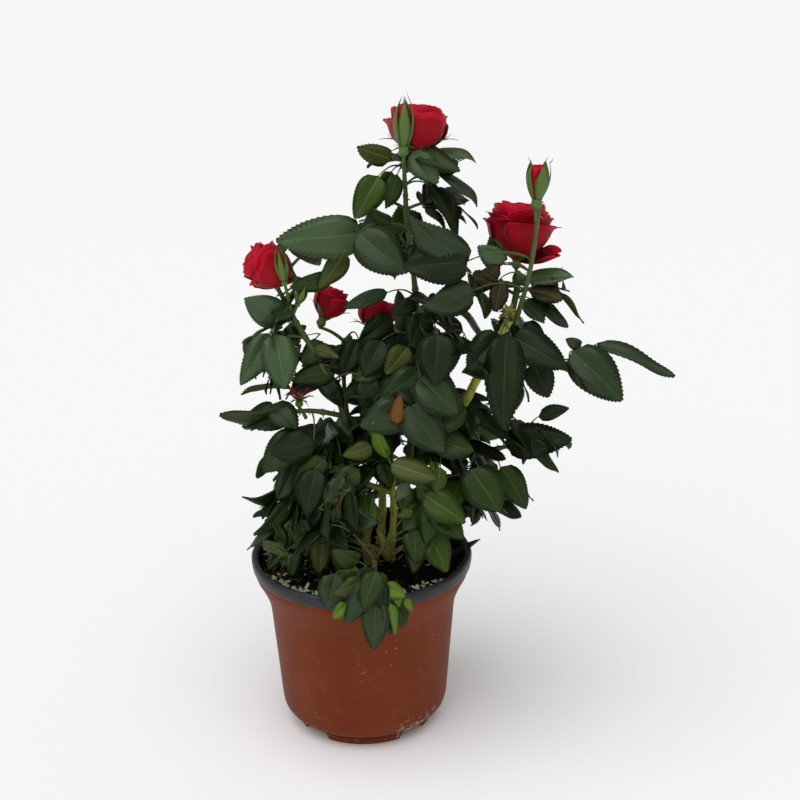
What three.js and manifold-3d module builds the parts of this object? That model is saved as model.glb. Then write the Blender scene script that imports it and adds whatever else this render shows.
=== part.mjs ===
import * as THREE from "three";
import { mergeVertices } from "three/addons/utils/BufferGeometryUtils.js";
import Module from "manifold-3d";

// A young shrub rose in a round nursery pot. Millimetres, +Z up, the front is -Y.
// The origin is the middle of the pot's flat underside.

const wasm = await Module();
wasm.setup();

// Driving dimensions of the pot
const RIM_RADIUS = 100;
const POT_HEIGHT = 165;
const WALL = 2;
const FOOT_RADIUS = 60;
const FOOT_HEIGHT = 7;
const CORNER_RADIUS = 76;
const CORNER_TOP = 21;
const WAIST_RADIUS = 84;
const WAIST_HEIGHT = 118;
const SHOULDER_RADIUS = 96.7;
const SHOULDER_HEIGHT = 147;
const FLOOR_THICKNESS = 3;
const RIM_BAND_HEIGHT = 12;
const POT_SEGMENTS = 24;

// The four drainage notches in the lower corner, between the feet
const NOTCH_COUNT = 4;
const NOTCH_WIDTH = 32;
const NOTCH_HEIGHT = 9;
const NOTCH_INNER_RADIUS = 46;
const NOTCH_DEPTH = 40;
const DRAIN_RADIUS = 4.5;
const DRAIN_CIRCLE = 32;

// The growing medium and the fit between neighbours
const SOIL_TOP = 151;
const SOIL_UNEVEN = 1.6;
const GAP = 0.4;

// Canes and masses
const CANE_SIDES = 6;
const CANE_RINGS = 7;
const LUMP_DEPTH = 0.24;

/** A finish with the colour, roughness and metalness of one material. */
function finish(color, roughness) {
  return new THREE.MeshStandardMaterial({ color, roughness, metalness: 0 });
}

const TERRACOTTA = finish(0x6e3520, 0.55);
const BLACK_PLASTIC = finish(0x1e1f22, 0.5);
const PEAT = finish(0x1c1511, 0.95);
const GREEN_BARK = finish(0x66752f, 0.6);
const BROWN_BARK = finish(0x7a5a36, 0.8);
const DARK_LEAF = finish(0x1f3a20, 0.4);
const FRESH_LEAF = finish(0x3c6420, 0.45);
const BRONZE_LEAF = finish(0x4a3b22, 0.45);
const RED_PETAL = finish(0xa5071c, 0.5);

/** A closed geometry as a manifold solid. */
function toSolid(geometry) {
  const bare = geometry.clone();
  bare.deleteAttribute("normal");
  bare.deleteAttribute("uv");
  const merged = mergeVertices(bare, 1e-3);
  const vertProperties = new Float32Array(merged.attributes.position.array);
  const triVerts = new Uint32Array(merged.index.array);
  return new wasm.Manifold(new wasm.Mesh({ numProp: 3, vertProperties, triVerts }));
}

/** A manifold solid as a geometry. */
function toGeometry(solid) {
  const { vertProperties, triVerts } = solid.getMesh();
  const geometry = new THREE.BufferGeometry();
  geometry.setAttribute("position", new THREE.BufferAttribute(new Float32Array(vertProperties), 3));
  geometry.setIndex(new THREE.BufferAttribute(new Uint32Array(triVerts), 1));
  return geometry;
}

/** The body of greatest volume among those that a cut has left. */
function largestBody(solid) {
  const bodies = solid.decompose();
  return bodies.reduce((best, body) => (body.volume() > best.volume() ? body : best));
}

/** A solid turned round the Z axis from [radius, height] pairs that start and end on it. */
function turned(profile) {
  const points = profile.map(([radius, height]) => new THREE.Vector2(radius, height));
  return new THREE.LatheGeometry(points, POT_SEGMENTS).rotateX(Math.PI / 2);
}

// ---------------------------------------------------------------- pot

/** The rounded lower corner, from the top of the foot up to the side wall. */
function cornerArc(inset) {
  const start = FOOT_RADIUS + 2;
  const width = CORNER_RADIUS - start;
  const rise = CORNER_TOP - FOOT_HEIGHT - 1;
  const steps = [0, 0.35, 0.7, 1];
  return steps.map((step) => {
    const angle = (step * Math.PI) / 2;
    return [start + width * Math.sin(angle) - inset, CORNER_TOP - rise * Math.cos(angle) + inset];
  });
}

/** The pot's side, from the lower corner to just under the top. */
function sideProfile(inset) {
  return [
    ...cornerArc(inset),
    [WAIST_RADIUS - inset, WAIST_HEIGHT],
    [WAIST_RADIUS + 3 - inset, WAIST_HEIGHT + 10],
    [SHOULDER_RADIUS - 3 - inset, SHOULDER_HEIGHT - 6],
    [SHOULDER_RADIUS - inset, SHOULDER_HEIGHT],
  ];
}

/** One drainage notch, grown by a margin on every side. */
function notch(index, margin) {
  const width = NOTCH_WIDTH + 2 * margin;
  const depth = NOTCH_DEPTH + 2 * margin;
  const height = 2 * (NOTCH_HEIGHT + margin);
  const box = new THREE.BoxGeometry(depth, width, height);
  box.translate(NOTCH_INNER_RADIUS + NOTCH_DEPTH / 2, 0, 0);
  box.rotateZ(((index + 0.5) * 2 * Math.PI) / NOTCH_COUNT);
  return toSolid(box);
}

/** Take every drainage notch out of a solid. */
function cutNotches(solid, margin) {
  let result = solid;
  for (let index = 0; index < NOTCH_COUNT; index += 1) {
    result = result.subtract(notch(index, margin));
  }
  return result;
}

/** The thin-walled pot, open at the top, with notches and drain holes in its base. */
function potShell() {
  const wallTop = POT_HEIGHT - 3;
  const outer = turned([
    [0, 0], [FOOT_RADIUS - 1, 0], [FOOT_RADIUS, 1.5], [FOOT_RADIUS, FOOT_HEIGHT],
    ...sideProfile(0), [SHOULDER_RADIUS, wallTop], [0, wallTop],
  ]);
  let shell = cutNotches(toSolid(outer), 0);
  shell = shell.subtract(cavity(0));
  for (let index = 0; index < NOTCH_COUNT; index += 1) {
    const hole = new THREE.CylinderGeometry(DRAIN_RADIUS, DRAIN_RADIUS, 4 * FLOOR_THICKNESS, 10);
    hole.rotateX(Math.PI / 2);
    const angle = (index * 2 * Math.PI) / NOTCH_COUNT;
    hole.translate(DRAIN_CIRCLE * Math.cos(angle), DRAIN_CIRCLE * Math.sin(angle), 0);
    shell = shell.subtract(toSolid(hole));
  }
  return toGeometry(shell);
}

/** The space inside the pot, drawn in by a clearance. */
function cavity(clearance) {
  const inset = WALL + clearance;
  const floor = FLOOR_THICKNESS + clearance;
  const space = turned([
    [0, floor], [FOOT_RADIUS - inset, floor], ...sideProfile(inset),
    [SHOULDER_RADIUS - inset, POT_HEIGHT + 5], [0, POT_HEIGHT + 5],
  ]);
  return cutNotches(toSolid(space), inset);
}

/** The rolled rim, which caps the wall and hangs outside it. */
function potRim() {
  const inside = SHOULDER_RADIUS - WALL - 2;
  const under = POT_HEIGHT - 3 + GAP;
  const foot = POT_HEIGHT - RIM_BAND_HEIGHT;
  const fit = SHOULDER_RADIUS + GAP;
  const loop = [
    [fit, foot], [RIM_RADIUS - 0.8, foot], [RIM_RADIUS, foot + 2.5], [RIM_RADIUS, POT_HEIGHT - 3],
    [RIM_RADIUS - 1.6, POT_HEIGHT - 0.6], [RIM_RADIUS - 4, POT_HEIGHT], [inside, POT_HEIGHT - 1],
    [inside, under], [fit, under], [fit, foot],
  ];
  return turned(loop);
}

/** The growing medium, level where the canes rise and uneven elsewhere. */
function growingMedium() {
  const block = turned([[0, -1], [RIM_RADIUS, -1], [RIM_RADIUS, SOIL_TOP], [0, SOIL_TOP]]);
  const filling = toGeometry(cavity(GAP).intersect(toSolid(block)));
  let body = toSolid(filling);
  for (let index = 0; index < 7; index += 1) {
    const angle = index * 2.4 + 0.6;
    const reach = 62 + 6 * Math.sin(index * 1.7);
    const dip = new THREE.IcosahedronGeometry(40, 1);
    dip.translate(reach * Math.cos(angle), reach * Math.sin(angle), SOIL_TOP + 40 - 2 * SOIL_UNEVEN);
    body = body.subtract(toSolid(dip));
  }
  return toGeometry(largestBody(body));
}

// ---------------------------------------------------------------- canes

const UP = new THREE.Vector3(0, 0, 1);

/**
 * A cane swept along a smooth route, tapering from foot to tip.
 * A cane that stands on the medium is cut level at its foot.
 */
function caneGeometry({ route, foot, tip, level = false }, margin = 0) {
  const curve = new THREE.CatmullRomCurve3(route.map((point) => new THREE.Vector3(...point)));
  const frames = curve.computeFrenetFrames(CANE_RINGS, false);
  const tube = new THREE.CylinderGeometry(1, 1, 1, CANE_SIDES, CANE_RINGS);
  const place = tube.attributes.position;
  for (let index = 0; index < place.count; index += 1) {
    const share = place.getY(index) + 0.5;
    const ring = Math.round(share * CANE_RINGS);
    const radius = THREE.MathUtils.lerp(foot, tip, share) + margin;
    const centre = curve.getPointAt(ring / CANE_RINGS);
    const along = frames.tangents[ring];
    const flat = level && ring === 0;
    const side = frames.normals[ring].clone();
    if (flat) side.setZ(0).normalize();
    const other = flat ? UP.clone().cross(side) : frames.binormals[ring];
    if (ring === 0) centre.addScaledVector(along, flat ? 0 : -margin);
    if (ring === CANE_RINGS) centre.addScaledVector(along, margin);
    centre.addScaledVector(side, -radius * place.getX(index));
    centre.addScaledVector(other, radius * place.getZ(index));
    place.setXYZ(index, centre.x, centre.y, centre.z);
  }
  return tube;
}

const CANE_FOOT = SOIL_TOP + GAP;

// Each cane's route is its bends from foot to tip; foot and tip are its radii.
const CANES = {
  "cane-centre": {
    route: [[26, 6, CANE_FOOT], [30, 2, 205], [27, -2, 244], [14, -8, 288]],
    foot: 3.8, tip: 2.2, level: true, skin: GREEN_BARK,
  },
  "cane-top": {
    route: [[33, 26, CANE_FOOT], [47, 22, 259], [54, 8, 385], [45, 0, 462], [43, 0, 525]],
    foot: 4.6, tip: 1.8, level: true, skin: GREEN_BARK,
  },
  "cane-left": {
    route: [[3, 16, CANE_FOOT], [-3, 2, 240], [-20, -10, 325], [-45, -15, 373], [-66, -19, 419]],
    foot: 4.6, tip: 2, level: true, skin: GREEN_BARK,
  },
  "cane-right": {
    route: [[46, 8, CANE_FOOT], [65, 4, 239], [102, -7, 324], [131, -14, 383]],
    foot: 5, tip: 3.6, level: true, skin: GREEN_BARK,
  },
  "bough-right-flower": {
    route: [[131.6, -14.2, 384.6], [137, -8, 404], [139, -1, 420]],
    foot: 3.2, tip: 2.4, skin: GREEN_BARK,
  },
  "bough-right-bud": {
    route: [[136.3, -20.5, 386.0], [146, -27, 428], [153, -30, 490]],
    foot: 2.3, tip: 1.8, skin: GREEN_BARK,
  },
  "bough-right-outer": {
    route: [[115, -8, 336], [153, -24, 346], [195, -38, 347]],
    foot: 2.6, tip: 1.6, skin: GREEN_BARK,
  },
  "bough-right-low": {
    route: [[71, 4, 249], [105, -8, 260], [142, -18, 270]],
    foot: 3, tip: 1.8, skin: GREEN_BARK,
  },
  "bough-left-side": {
    route: [[27, 1, 220], [0, -5, 233], [-33, -12, 246]],
    foot: 3, tip: 1.8, skin: BROWN_BARK,
  },
  "bough-left-tip": {
    route: [[-12, -6, 296], [-43, -20, 307], [-82, -30, 306]],
    foot: 2.6, tip: 1.5, skin: GREEN_BARK,
  },
  "bough-middle-flower": {
    route: [[-8, -3, 282], [-12, 12, 325], [-7, 18, 362]],
    foot: 2.4, tip: 1.8, skin: GREEN_BARK,
  },
  "cane-back": {
    route: [[18, 34, CANE_FOOT], [23, 62, 220], [32, 72, 300], [43, 66, 349]],
    foot: 4.2, tip: 2.2, level: true, skin: GREEN_BARK,
  },
  "shoot-front": {
    route: [[14, -8, CANE_FOOT], [12, -52, 182], [9, -92, 178]],
    foot: 3, tip: 1.8, level: true, skin: GREEN_BARK,
  },
  "stub-cut": {
    route: [[6, -3, CANE_FOOT], [4, -6, 175], [9, -9, 207]],
    foot: 4.6, tip: 3.8, level: true, skin: BROWN_BARK,
  },
};

// ---------------------------------------------------------------- masses

/** A closed uneven lump of given full size, turned about its own middle. */
function lumpGeometry({ at, size, lean = 0, turn = 0, detail = 1 }, seed) {
  const lump = new THREE.IcosahedronGeometry(0.5, detail);
  const place = lump.attributes.position;
  for (let index = 0; index < place.count; index += 1) {
    const [x, y, z] = [place.getX(index), place.getY(index), place.getZ(index)];
    const wave = Math.sin(9 * x + 2.1 * seed) + Math.sin(8 * y - 1.3 * seed) + Math.sin(10 * z + seed);
    const swell = 1 + (LUMP_DEPTH * (wave - 1)) / 2;
    place.setXYZ(index, x * swell, y * swell, z * swell);
  }
  lump.computeBoundingBox();
  const raw = lump.boundingBox.getSize(new THREE.Vector3());
  const middle = lump.boundingBox.getCenter(new THREE.Vector3());
  lump.translate(-middle.x, -middle.y, -middle.z);
  lump.scale(size[0] / raw.x, size[1] / raw.y, size[2] / raw.z);
  lump.rotateY(THREE.MathUtils.degToRad(lean));
  lump.rotateZ(THREE.MathUtils.degToRad(turn));
  lump.translate(...at);
  return lump;
}

/** The same surface moved out by a margin, from its own middle. */
function grown(geometry, margin) {
  const bigger = geometry.clone();
  bigger.computeBoundingBox();
  const middle = bigger.boundingBox.getCenter(new THREE.Vector3());
  const size = bigger.boundingBox.getSize(new THREE.Vector3());
  bigger.translate(-middle.x, -middle.y, -middle.z);
  const [sx, sy, sz] = [size.x, size.y, size.z].map((length) => 1 + (3 * margin) / length);
  bigger.scale(sx, sy, sz);
  return bigger.translate(middle.x, middle.y, middle.z);
}

// Where each mass sits, and its full width, depth and height.
// lean turns it in the front view, turn about the upright.
const MASSES = {
  "flower-head-top": { at: [52, 0, 544], size: [62, 50, 54], skin: RED_PETAL },
  "flower-head-right": { at: [142, 0, 457], size: [68, 60, 60], skin: RED_PETAL },
  "flower-bud-right": { at: [153, -32, 506], size: [26, 26, 40], skin: RED_PETAL },
  "flower-head-left": { at: [-70, -20, 431], size: [50, 44, 44], skin: RED_PETAL },
  "flower-heads-middle": { at: [-5, 20, 385], size: [88, 44, 42], skin: RED_PETAL },
  "leaves-top-collar": { at: [55, 5, 511], size: [104, 74, 42], lean: -5 },
  "leaves-upper-left": { at: [13, -5, 486], size: [44, 34, 46] },
  "leaves-upper-right": { at: [85, 8, 477], size: [52, 44, 46], lean: 20 },
  "leaves-upper-front": { at: [66, -42, 449], size: [74, 34, 66] },
  "leaves-upper-middle": { at: [18, -20, 446], size: [48, 40, 50] },
  "leaves-upper-back": { at: [38, 42, 440], size: [70, 44, 60] },
  "leaves-left-shoulder": { at: [-28, -28, 452], size: [90, 32, 44], lean: -10 },
  "leaves-right-shoulder": { at: [170, -8, 404], size: [62, 46, 54] },
  "leaves-young-shoot": { at: [110, -14, 410], size: [46, 40, 78], skin: BRONZE_LEAF },
  "leaves-centre-upper": { at: [75, -38, 377], size: [62, 44, 84] },
  "leaves-left-middle": { at: [-74, -20, 368], size: [52, 46, 90] },
  "leaves-inner-left": { at: [-25, -4, 342], size: [42, 34, 70], lean: -20 },
  "leaves-left-tip": { at: [-86, -30, 305], size: [78, 30, 30], lean: 8 },
  "crown-left": { at: [-27, -8, 254], size: [98, 84, 84], detail: 2 },
  "crown-centre": { at: [40, -30, 325], size: [76, 70, 86], detail: 2 },
  "leaves-right-front": { at: [127, -68, 354], size: [76, 30, 102], detail: 2 },
  "leaves-right-outer": { at: [193, -36, 344], size: [66, 34, 52] },
  "leaves-right-tip": { at: [243, -22, 342], size: [70, 24, 22], lean: 12 },
  "leaves-low-right-outer": { at: [152, -22, 274], size: [74, 50, 50] },
  "leaves-low-right": { at: [115, -14, 225], size: [80, 70, 52] },
  "crown-right": { at: [88, -6, 285], size: [84, 78, 86], detail: 2 },
  "leaves-low-left": { at: [-57, -22, 223], size: [78, 68, 80] },
  "leaves-low-front-right": { at: [63, -60, 229], size: [68, 44, 82], skin: FRESH_LEAF },
  "leaves-low-front-left": { at: [-27, -58, 222], size: [80, 44, 80] },
  "leaves-front-rim": { at: [8, -102, 168], size: [72, 40, 78], skin: FRESH_LEAF },
  "leaves-left-rim": { at: [-76, -38, 186], size: [50, 48, 34] },
  "crown-back-upper": { at: [47, 62, 337], size: [76, 56, 90] },
  "leaves-back-left-upper": { at: [-68, 42, 329], size: [58, 52, 80] },
  "leaves-back-right-upper": { at: [145, 46, 338], size: [64, 54, 84] },
  "crown-back-left": { at: [-45, 70, 237], size: [94, 66, 84] },
  "crown-back-centre": { at: [25, 96, 262], size: [90, 60, 92] },
  "crown-back-right": { at: [93, 72, 249], size: [80, 66, 92] },
  "leaves-back-low": { at: [20, 104, 195], size: [104, 48, 52] },
  "leaves-back-low-right": { at: [104, 48, 196], size: [62, 56, 46] },
  "leaves-back-low-left": { at: [-66, 44, 195], size: [62, 54, 44] },
};

// ---------------------------------------------------------------- assembly

const roseBush = new THREE.Group();

/** Add one named sub-part to the plant. */
function add(name, geometry, material) {
  const mesh = new THREE.Mesh(geometry, material);
  mesh.name = name;
  roseBush.add(mesh);
}

add("nursery-pot", potShell(), TERRACOTTA);
add("pot-rim", potRim(), BLACK_PLASTIC);
const medium = growingMedium();
add("growing-medium", medium, PEAT);

// What a later cane or mass has to clear: everything made before it, a little grown.
const potZone = turned([
  [SHOULDER_RADIUS - WALL - 2 - GAP, WAIST_HEIGHT], [RIM_RADIUS + GAP, WAIST_HEIGHT],
  [RIM_RADIUS + GAP, POT_HEIGHT - 2], [RIM_RADIUS - 3, POT_HEIGHT + GAP],
  [SHOULDER_RADIUS - WALL - 2 - GAP, POT_HEIGHT + GAP], [SHOULDER_RADIUS - WALL - 2 - GAP, WAIST_HEIGHT],
]);
const soilZone = turned([
  [0, FOOT_HEIGHT], [SHOULDER_RADIUS - WALL, FOOT_HEIGHT],
  [SHOULDER_RADIUS - WALL, SOIL_TOP + GAP], [0, SOIL_TOP + GAP],
]);
const taken = [toSolid(potZone), toSolid(soilZone)];

/** Cut a shape clear of all that stands already, and keep its main body. */
function fitted(geometry) {
  let solid = toSolid(geometry);
  for (const zone of taken) {
    solid = solid.subtract(zone);
  }
  return toGeometry(largestBody(solid));
}

for (const [name, cane] of Object.entries(CANES)) {
  add(name, fitted(caneGeometry(cane)), cane.skin);
  taken.push(toSolid(caneGeometry(cane, GAP)));
}

Object.entries(MASSES).forEach(([name, mass], index) => {
  const lump = lumpGeometry(mass, index + 1);
  add(name, fitted(lump), mass.skin ?? DARK_LEAF);
  taken.push(toSolid(grown(lump, GAP)));
});

export default roseBush;
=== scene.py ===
"""A young shrub rose in a round nursery pot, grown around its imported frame."""

import logging
import math
import random
from dataclasses import dataclass, field, replace
from enum import Enum

import bpy
import numpy as np
from mathutils import Matrix, Vector, noise


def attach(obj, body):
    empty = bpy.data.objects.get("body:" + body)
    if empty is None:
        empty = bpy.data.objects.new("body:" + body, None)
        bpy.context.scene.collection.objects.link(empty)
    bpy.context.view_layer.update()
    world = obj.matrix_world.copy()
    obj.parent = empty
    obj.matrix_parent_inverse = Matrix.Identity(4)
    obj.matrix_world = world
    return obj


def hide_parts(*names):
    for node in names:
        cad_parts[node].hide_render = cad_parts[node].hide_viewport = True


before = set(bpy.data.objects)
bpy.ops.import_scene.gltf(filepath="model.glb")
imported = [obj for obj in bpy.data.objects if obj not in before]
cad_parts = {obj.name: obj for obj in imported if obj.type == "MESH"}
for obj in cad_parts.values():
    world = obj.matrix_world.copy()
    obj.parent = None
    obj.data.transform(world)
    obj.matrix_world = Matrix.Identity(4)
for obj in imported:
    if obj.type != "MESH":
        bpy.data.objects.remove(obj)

LOG = logging.getLogger("rose")
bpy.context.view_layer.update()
BODY = "root"
MM = 0.001
SEED = 23
GOLDEN_ANGLE = math.radians(137.5)
UP = Vector((0.0, 0.0, 1.0))
RISE = np.array((0.0, 0.0, 1.0))
WELD_DISTANCE = 0.01 * MM
CREASE_ANGLE = math.radians(38)
Triple = tuple[float, float, float]
Profile = tuple[tuple[float, float], ...]
Pair = tuple[np.ndarray, np.ndarray]


# ---------------------------------------------------------------- small helpers


def linear(hex_colour: str) -> tuple[float, float, float, float]:
    """Turn an sRGB hex colour into linear red, green, blue and alpha.

    Args:
        hex_colour: Six hex digits, such as "6e3520".

    Returns:
        The four linear values, with alpha 1.
    """
    parts = [int(hex_colour[start:start + 2], 16) / 255 for start in (0, 2, 4)]
    red, green, blue = (p / 12.92 if p <= 0.04045 else ((p + 0.055) / 1.055) ** 2.4 for p in parts)
    return red, green, blue, 1.0


def smoothstep(low: float, high: float, value: float) -> float:
    """Ease from 0 at low to 1 at high.

    Args:
        low: Where the rise starts.
        high: Where the rise ends.
        value: The place to read.

    Returns:
        The eased share.
    """
    share = min(max((value - low) / (high - low), 0.0), 1.0)
    return share * share * (3 - 2 * share)


def unit(vector: np.ndarray) -> np.ndarray:
    """Scale a vector to length 1.

    Args:
        vector: Any vector.

    Returns:
        The same direction at unit length.
    """
    length = float(np.linalg.norm(vector))
    return vector / length if length > 1e-9 else RISE


def axes_along(direction: np.ndarray, face: np.ndarray) -> np.ndarray:
    """Axes for a thing that points one way and faces another.

    Args:
        direction: Where its long axis points.
        face: Roughly where its upper face looks.

    Returns:
        A 3x3 array whose rows are its own X, Y and Z axes.
    """
    along = unit(direction)
    side = np.cross(face, along)
    if np.linalg.norm(side) < 1e-3:
        side = np.cross((0.3, 1.0, 0.2), along)
    side = unit(side)
    return np.array((along, side, np.cross(along, side)))


def axes_about(axis: Triple | np.ndarray) -> np.ndarray:
    """Axes for a thing that is round about its own up, such as a flower.

    Args:
        axis: Its own up.

    Returns:
        A 3x3 array whose rows are its own X, Y and Z axes.
    """
    up = unit(np.array(axis))
    side = unit(np.cross((0.2, 1.0, 0.1), up))
    return np.array((side, np.cross(up, side), up))


def outward(axes: np.ndarray, turn: float) -> np.ndarray:
    """The direction that leaves a thing's own up at a turn about it.

    Args:
        axes: Its axes, its own up last.
        turn: The turn, in radians.

    Returns:
        The direction, at unit length.
    """
    return math.cos(turn) * axes[0] + math.sin(turn) * axes[1]


def jitter(reach: float, rng: random.Random) -> np.ndarray:
    """Draw a small random vector.

    Args:
        reach: The greatest size of each of its parts.
        rng: The source of chance.

    Returns:
        Its three parts.
    """
    return np.array([rng.uniform(-reach, reach) for _ in range(3)])


def deselect() -> None:
    """Leave object mode and clear the selection."""
    if bpy.context.object and bpy.context.object.mode != "OBJECT":
        bpy.ops.object.mode_set(mode="OBJECT")
    bpy.ops.object.select_all(action="DESELECT")


def choose(piece: bpy.types.Object) -> None:
    """Make one object the active and only selected one.

    Args:
        piece: The object.
    """
    deselect()
    piece.select_set(True)
    bpy.context.view_layer.objects.active = piece


def in_edit_mode(piece: bpy.types.Object) -> None:
    """Open an object in edit mode with everything selected.

    Args:
        piece: The mesh object.
    """
    choose(piece)
    bpy.ops.object.mode_set(mode="EDIT")
    bpy.ops.mesh.select_all(action="SELECT")


def finish_piece(piece: bpy.types.Object, nodes: tuple[str, ...] = ()) -> None:
    """Tie a finished piece to the body and hide the nodes it stands for.

    Args:
        piece: The finished object.
        nodes: The frame's nodes that it replaces.
    """
    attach(piece, BODY)
    if nodes:
        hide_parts(*nodes)
    LOG.info("%s: %d faces", piece.name, len(piece.data.polygons))


def turned(name: str, profile: list[tuple[float, float]], segments: int) -> bpy.types.Object:
    """Turn a profile about the upright by extruding and resizing a ring.

    Args:
        name: The object's name.
        profile: Radius and height of each ring, from first to last.
        segments: Points in each ring.

    Returns:
        The open shell of revolution, still in edit mode with its last ring selected.
    """
    deselect()
    radius, height = profile[0]
    bpy.ops.mesh.primitive_circle_add(vertices=segments, radius=radius, location=(0, 0, height))
    piece = bpy.context.object
    piece.name = name
    bpy.ops.object.transform_apply(location=True, rotation=True, scale=True)
    in_edit_mode(piece)
    for next_radius, next_height in profile[1:]:
        bpy.ops.mesh.extrude_edges_move()
        bpy.ops.transform.translate(value=(0, 0, next_height - height))
        share = next_radius / radius
        bpy.ops.transform.resize(value=(share, share, 1), center_override=(0, 0, next_height))
        radius, height = next_radius, next_height
    return piece


def close_up(piece: bpy.types.Object) -> None:
    """Merge doubled points, turn every face outwards and shade the piece smooth.

    Args:
        piece: The mesh object, in either mode.
    """
    in_edit_mode(piece)
    bpy.ops.mesh.remove_doubles(threshold=WELD_DISTANCE)
    bpy.ops.mesh.normals_make_consistent(inside=False)
    bpy.ops.object.mode_set(mode="OBJECT")
    bpy.ops.object.shade_smooth_by_angle(angle=CREASE_ANGLE)
    deselect()


# ---------------------------------------------------------------- materials


def add_node(tree: bpy.types.NodeTree, kind: str, settings: dict, links: dict) -> bpy.types.Node:
    """Add one node with its settings and links.

    Args:
        tree: The material's node tree.
        kind: The node's type name without "ShaderNode".
        settings: Attribute names, input names or input numbers, and their values; a
            six-digit text is an sRGB colour.
        links: Input names or numbers and the output sockets that feed them.

    Returns:
        The new node.
    """
    node = tree.nodes.new(f"ShaderNode{kind}")
    for key, value in settings.items():
        if isinstance(key, str) and hasattr(node, key):
            setattr(node, key, value)
        else:
            node.inputs[key].default_value = linear(value) if isinstance(value, str) else value
    for key, socket in links.items():
        tree.links.new(socket, node.inputs[key])
    return node


FULL_BELOW = 0.3
SIDE_BLEND_MM = 8


@dataclass(frozen=True)
class Veil:
    """A second colour that shows through a finish where a pattern of its own is strong."""

    colour: str
    size_mm: float
    start: float
    full: float
    strength: float = 1.0
    detail: float = 3.0
    stretch: Triple = (1.0, 1.0, 1.0)
    fades_above_mm: float = 0.0
    right_of_mm: float | None = None


@dataclass(frozen=True)
class Finish:
    """One real material: a base colour, the veils over it, its gloss and its relief."""

    name: str
    colour: str
    roughness: float
    veils: tuple[Veil, ...] = ()
    relief_mm: float = 0.0
    relief_size_mm: float = 2.0
    relief_stretch: Triple = (1.0, 1.0, 1.0)
    shader: tuple[tuple[str, float | tuple[float, ...]], ...] = ()

    def build(self) -> bpy.types.Material:
        """Make the material, every pattern in the object's own metres.

        Returns:
            The finished material.
        """
        material = bpy.data.materials.new(self.name)
        material.use_nodes = True
        tree = material.node_tree
        skin = tree.nodes["Principled BSDF"]
        skin.inputs["Base Color"].default_value = linear(self.colour)
        skin.inputs["Roughness"].default_value = self.roughness
        for key, value in self.shader:
            skin.inputs[key].default_value = value
        if not self.veils and not self.relief_mm:
            return material
        place = add_node(tree, "TexCoord", {}, {}).outputs["Object"]
        under: dict = {}
        for veil in self.veils:
            share = self.veil_share(tree, veil, place)
            settings = {"data_type": "RGBA", 7: veil.colour}
            if not under:
                settings[6] = self.colour
            mixed = add_node(tree, "Mix", settings, {0: share, **under})
            under = {6: mixed.outputs[2]}
        if self.veils:
            tree.links.new(under[6], skin.inputs["Base Color"])
        if self.relief_mm:
            spread = add_node(tree, "Mapping", {"Scale": self.relief_stretch}, {"Vector": place})
            settings = {"Scale": 1000 / self.relief_size_mm, "Detail": 3.0}
            grain = add_node(tree, "TexNoise", settings, {"Vector": spread.outputs[0]})
            bump = add_node(tree, "Bump", {"Distance": self.relief_mm * MM}, {"Height": grain.outputs[0]})
            tree.links.new(bump.outputs[0], skin.inputs["Normal"])
        return material

    def veil_share(
        self, tree: bpy.types.NodeTree, veil: Veil, place: bpy.types.NodeSocket,
    ) -> bpy.types.NodeSocket:
        """Work out how strongly a veil shows at each place.

        Args:
            tree: The material's node tree.
            veil: The veil.
            place: The object's own coordinates.

        Returns:
            The veil's share, from 0 to its strength.
        """
        spread = add_node(tree, "Mapping", {"Scale": veil.stretch}, {"Vector": place}).outputs[0]
        settings = {"Scale": 1000 / veil.size_mm, "Detail": veil.detail, "Roughness": 0.6}
        pattern = add_node(tree, "TexNoise", settings, {"Vector": spread}).outputs[0]
        settings = {"From Min": veil.start, "From Max": veil.full, "To Max": veil.strength}
        share = add_node(tree, "MapRange", settings, {"Value": pattern}).outputs[0]
        if not veil.fades_above_mm:
            return share
        parts = add_node(tree, "SeparateXYZ", {}, {0: place}).outputs
        settings = {"From Min": veil.fades_above_mm * MM, "From Max": veil.fades_above_mm * FULL_BELOW * MM}
        low = add_node(tree, "MapRange", settings, {"Value": parts[2]}).outputs[0]
        share = add_node(tree, "Math", {"operation": "MULTIPLY"}, {0: share, 1: low}).outputs[0]
        if veil.right_of_mm is None:
            return share
        start, full = veil.right_of_mm - SIDE_BLEND_MM, veil.right_of_mm + SIDE_BLEND_MM
        settings = {"From Min": start * MM, "From Max": full * MM}
        right = add_node(tree, "MapRange", settings, {"Value": parts[0]}).outputs[0]
        return add_node(tree, "Math", {"operation": "MULTIPLY"}, {0: share, 1: right}).outputs[0]


# Satin brown sheet: slow drifts of tone, a thin bloom of dust, pale specks, dark nicks,
# and whitish scuffs low down at the right, where the pot was dragged.
TERRACOTTA_SHEET = Finish(
    "thermoformed polypropylene, terracotta", "6c2c0f", 0.52,
    (
        Veil("783615", 70, 0.40, 0.75, 0.8, 2.0, (1.0, 1.0, 0.5)),
        Veil("85543d", 13, 0.52, 0.95, 0.35, 5.0),
        Veil("b58f6e", 3.6, 0.775, 0.79, 0.7, 1.0),
        Veil("24100a", 6, 0.775, 0.795, 0.9, 1.0, (1.0, 1.0, 0.5)),
        Veil("9a6a58", 5, 0.56, 0.66, 0.6, 5.0, (1.0, 1.0, 1.7), 12),
        Veil("e6dbd0", 6, 0.535, 0.605, 0.95, 5.0, (1.0, 1.0, 1.7), 28, 30),
    ),
    0.20, 9.0, (1.0, 1.0, 0.6), (("Specular IOR Level", 0.12),),
)
# The sheet's black inner layer, grey with dust where hands and peat have touched it.
BLACK_SHEET = Finish(
    "thermoformed polypropylene, black", "1a1b1d", 0.44,
    (Veil("3c3f44", 12, 0.50, 0.85, 0.5, 5.0),),
    0.15, 3.0, (1.0, 1.0, 1.0), (("Specular IOR Level", 0.4),),
)
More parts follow.
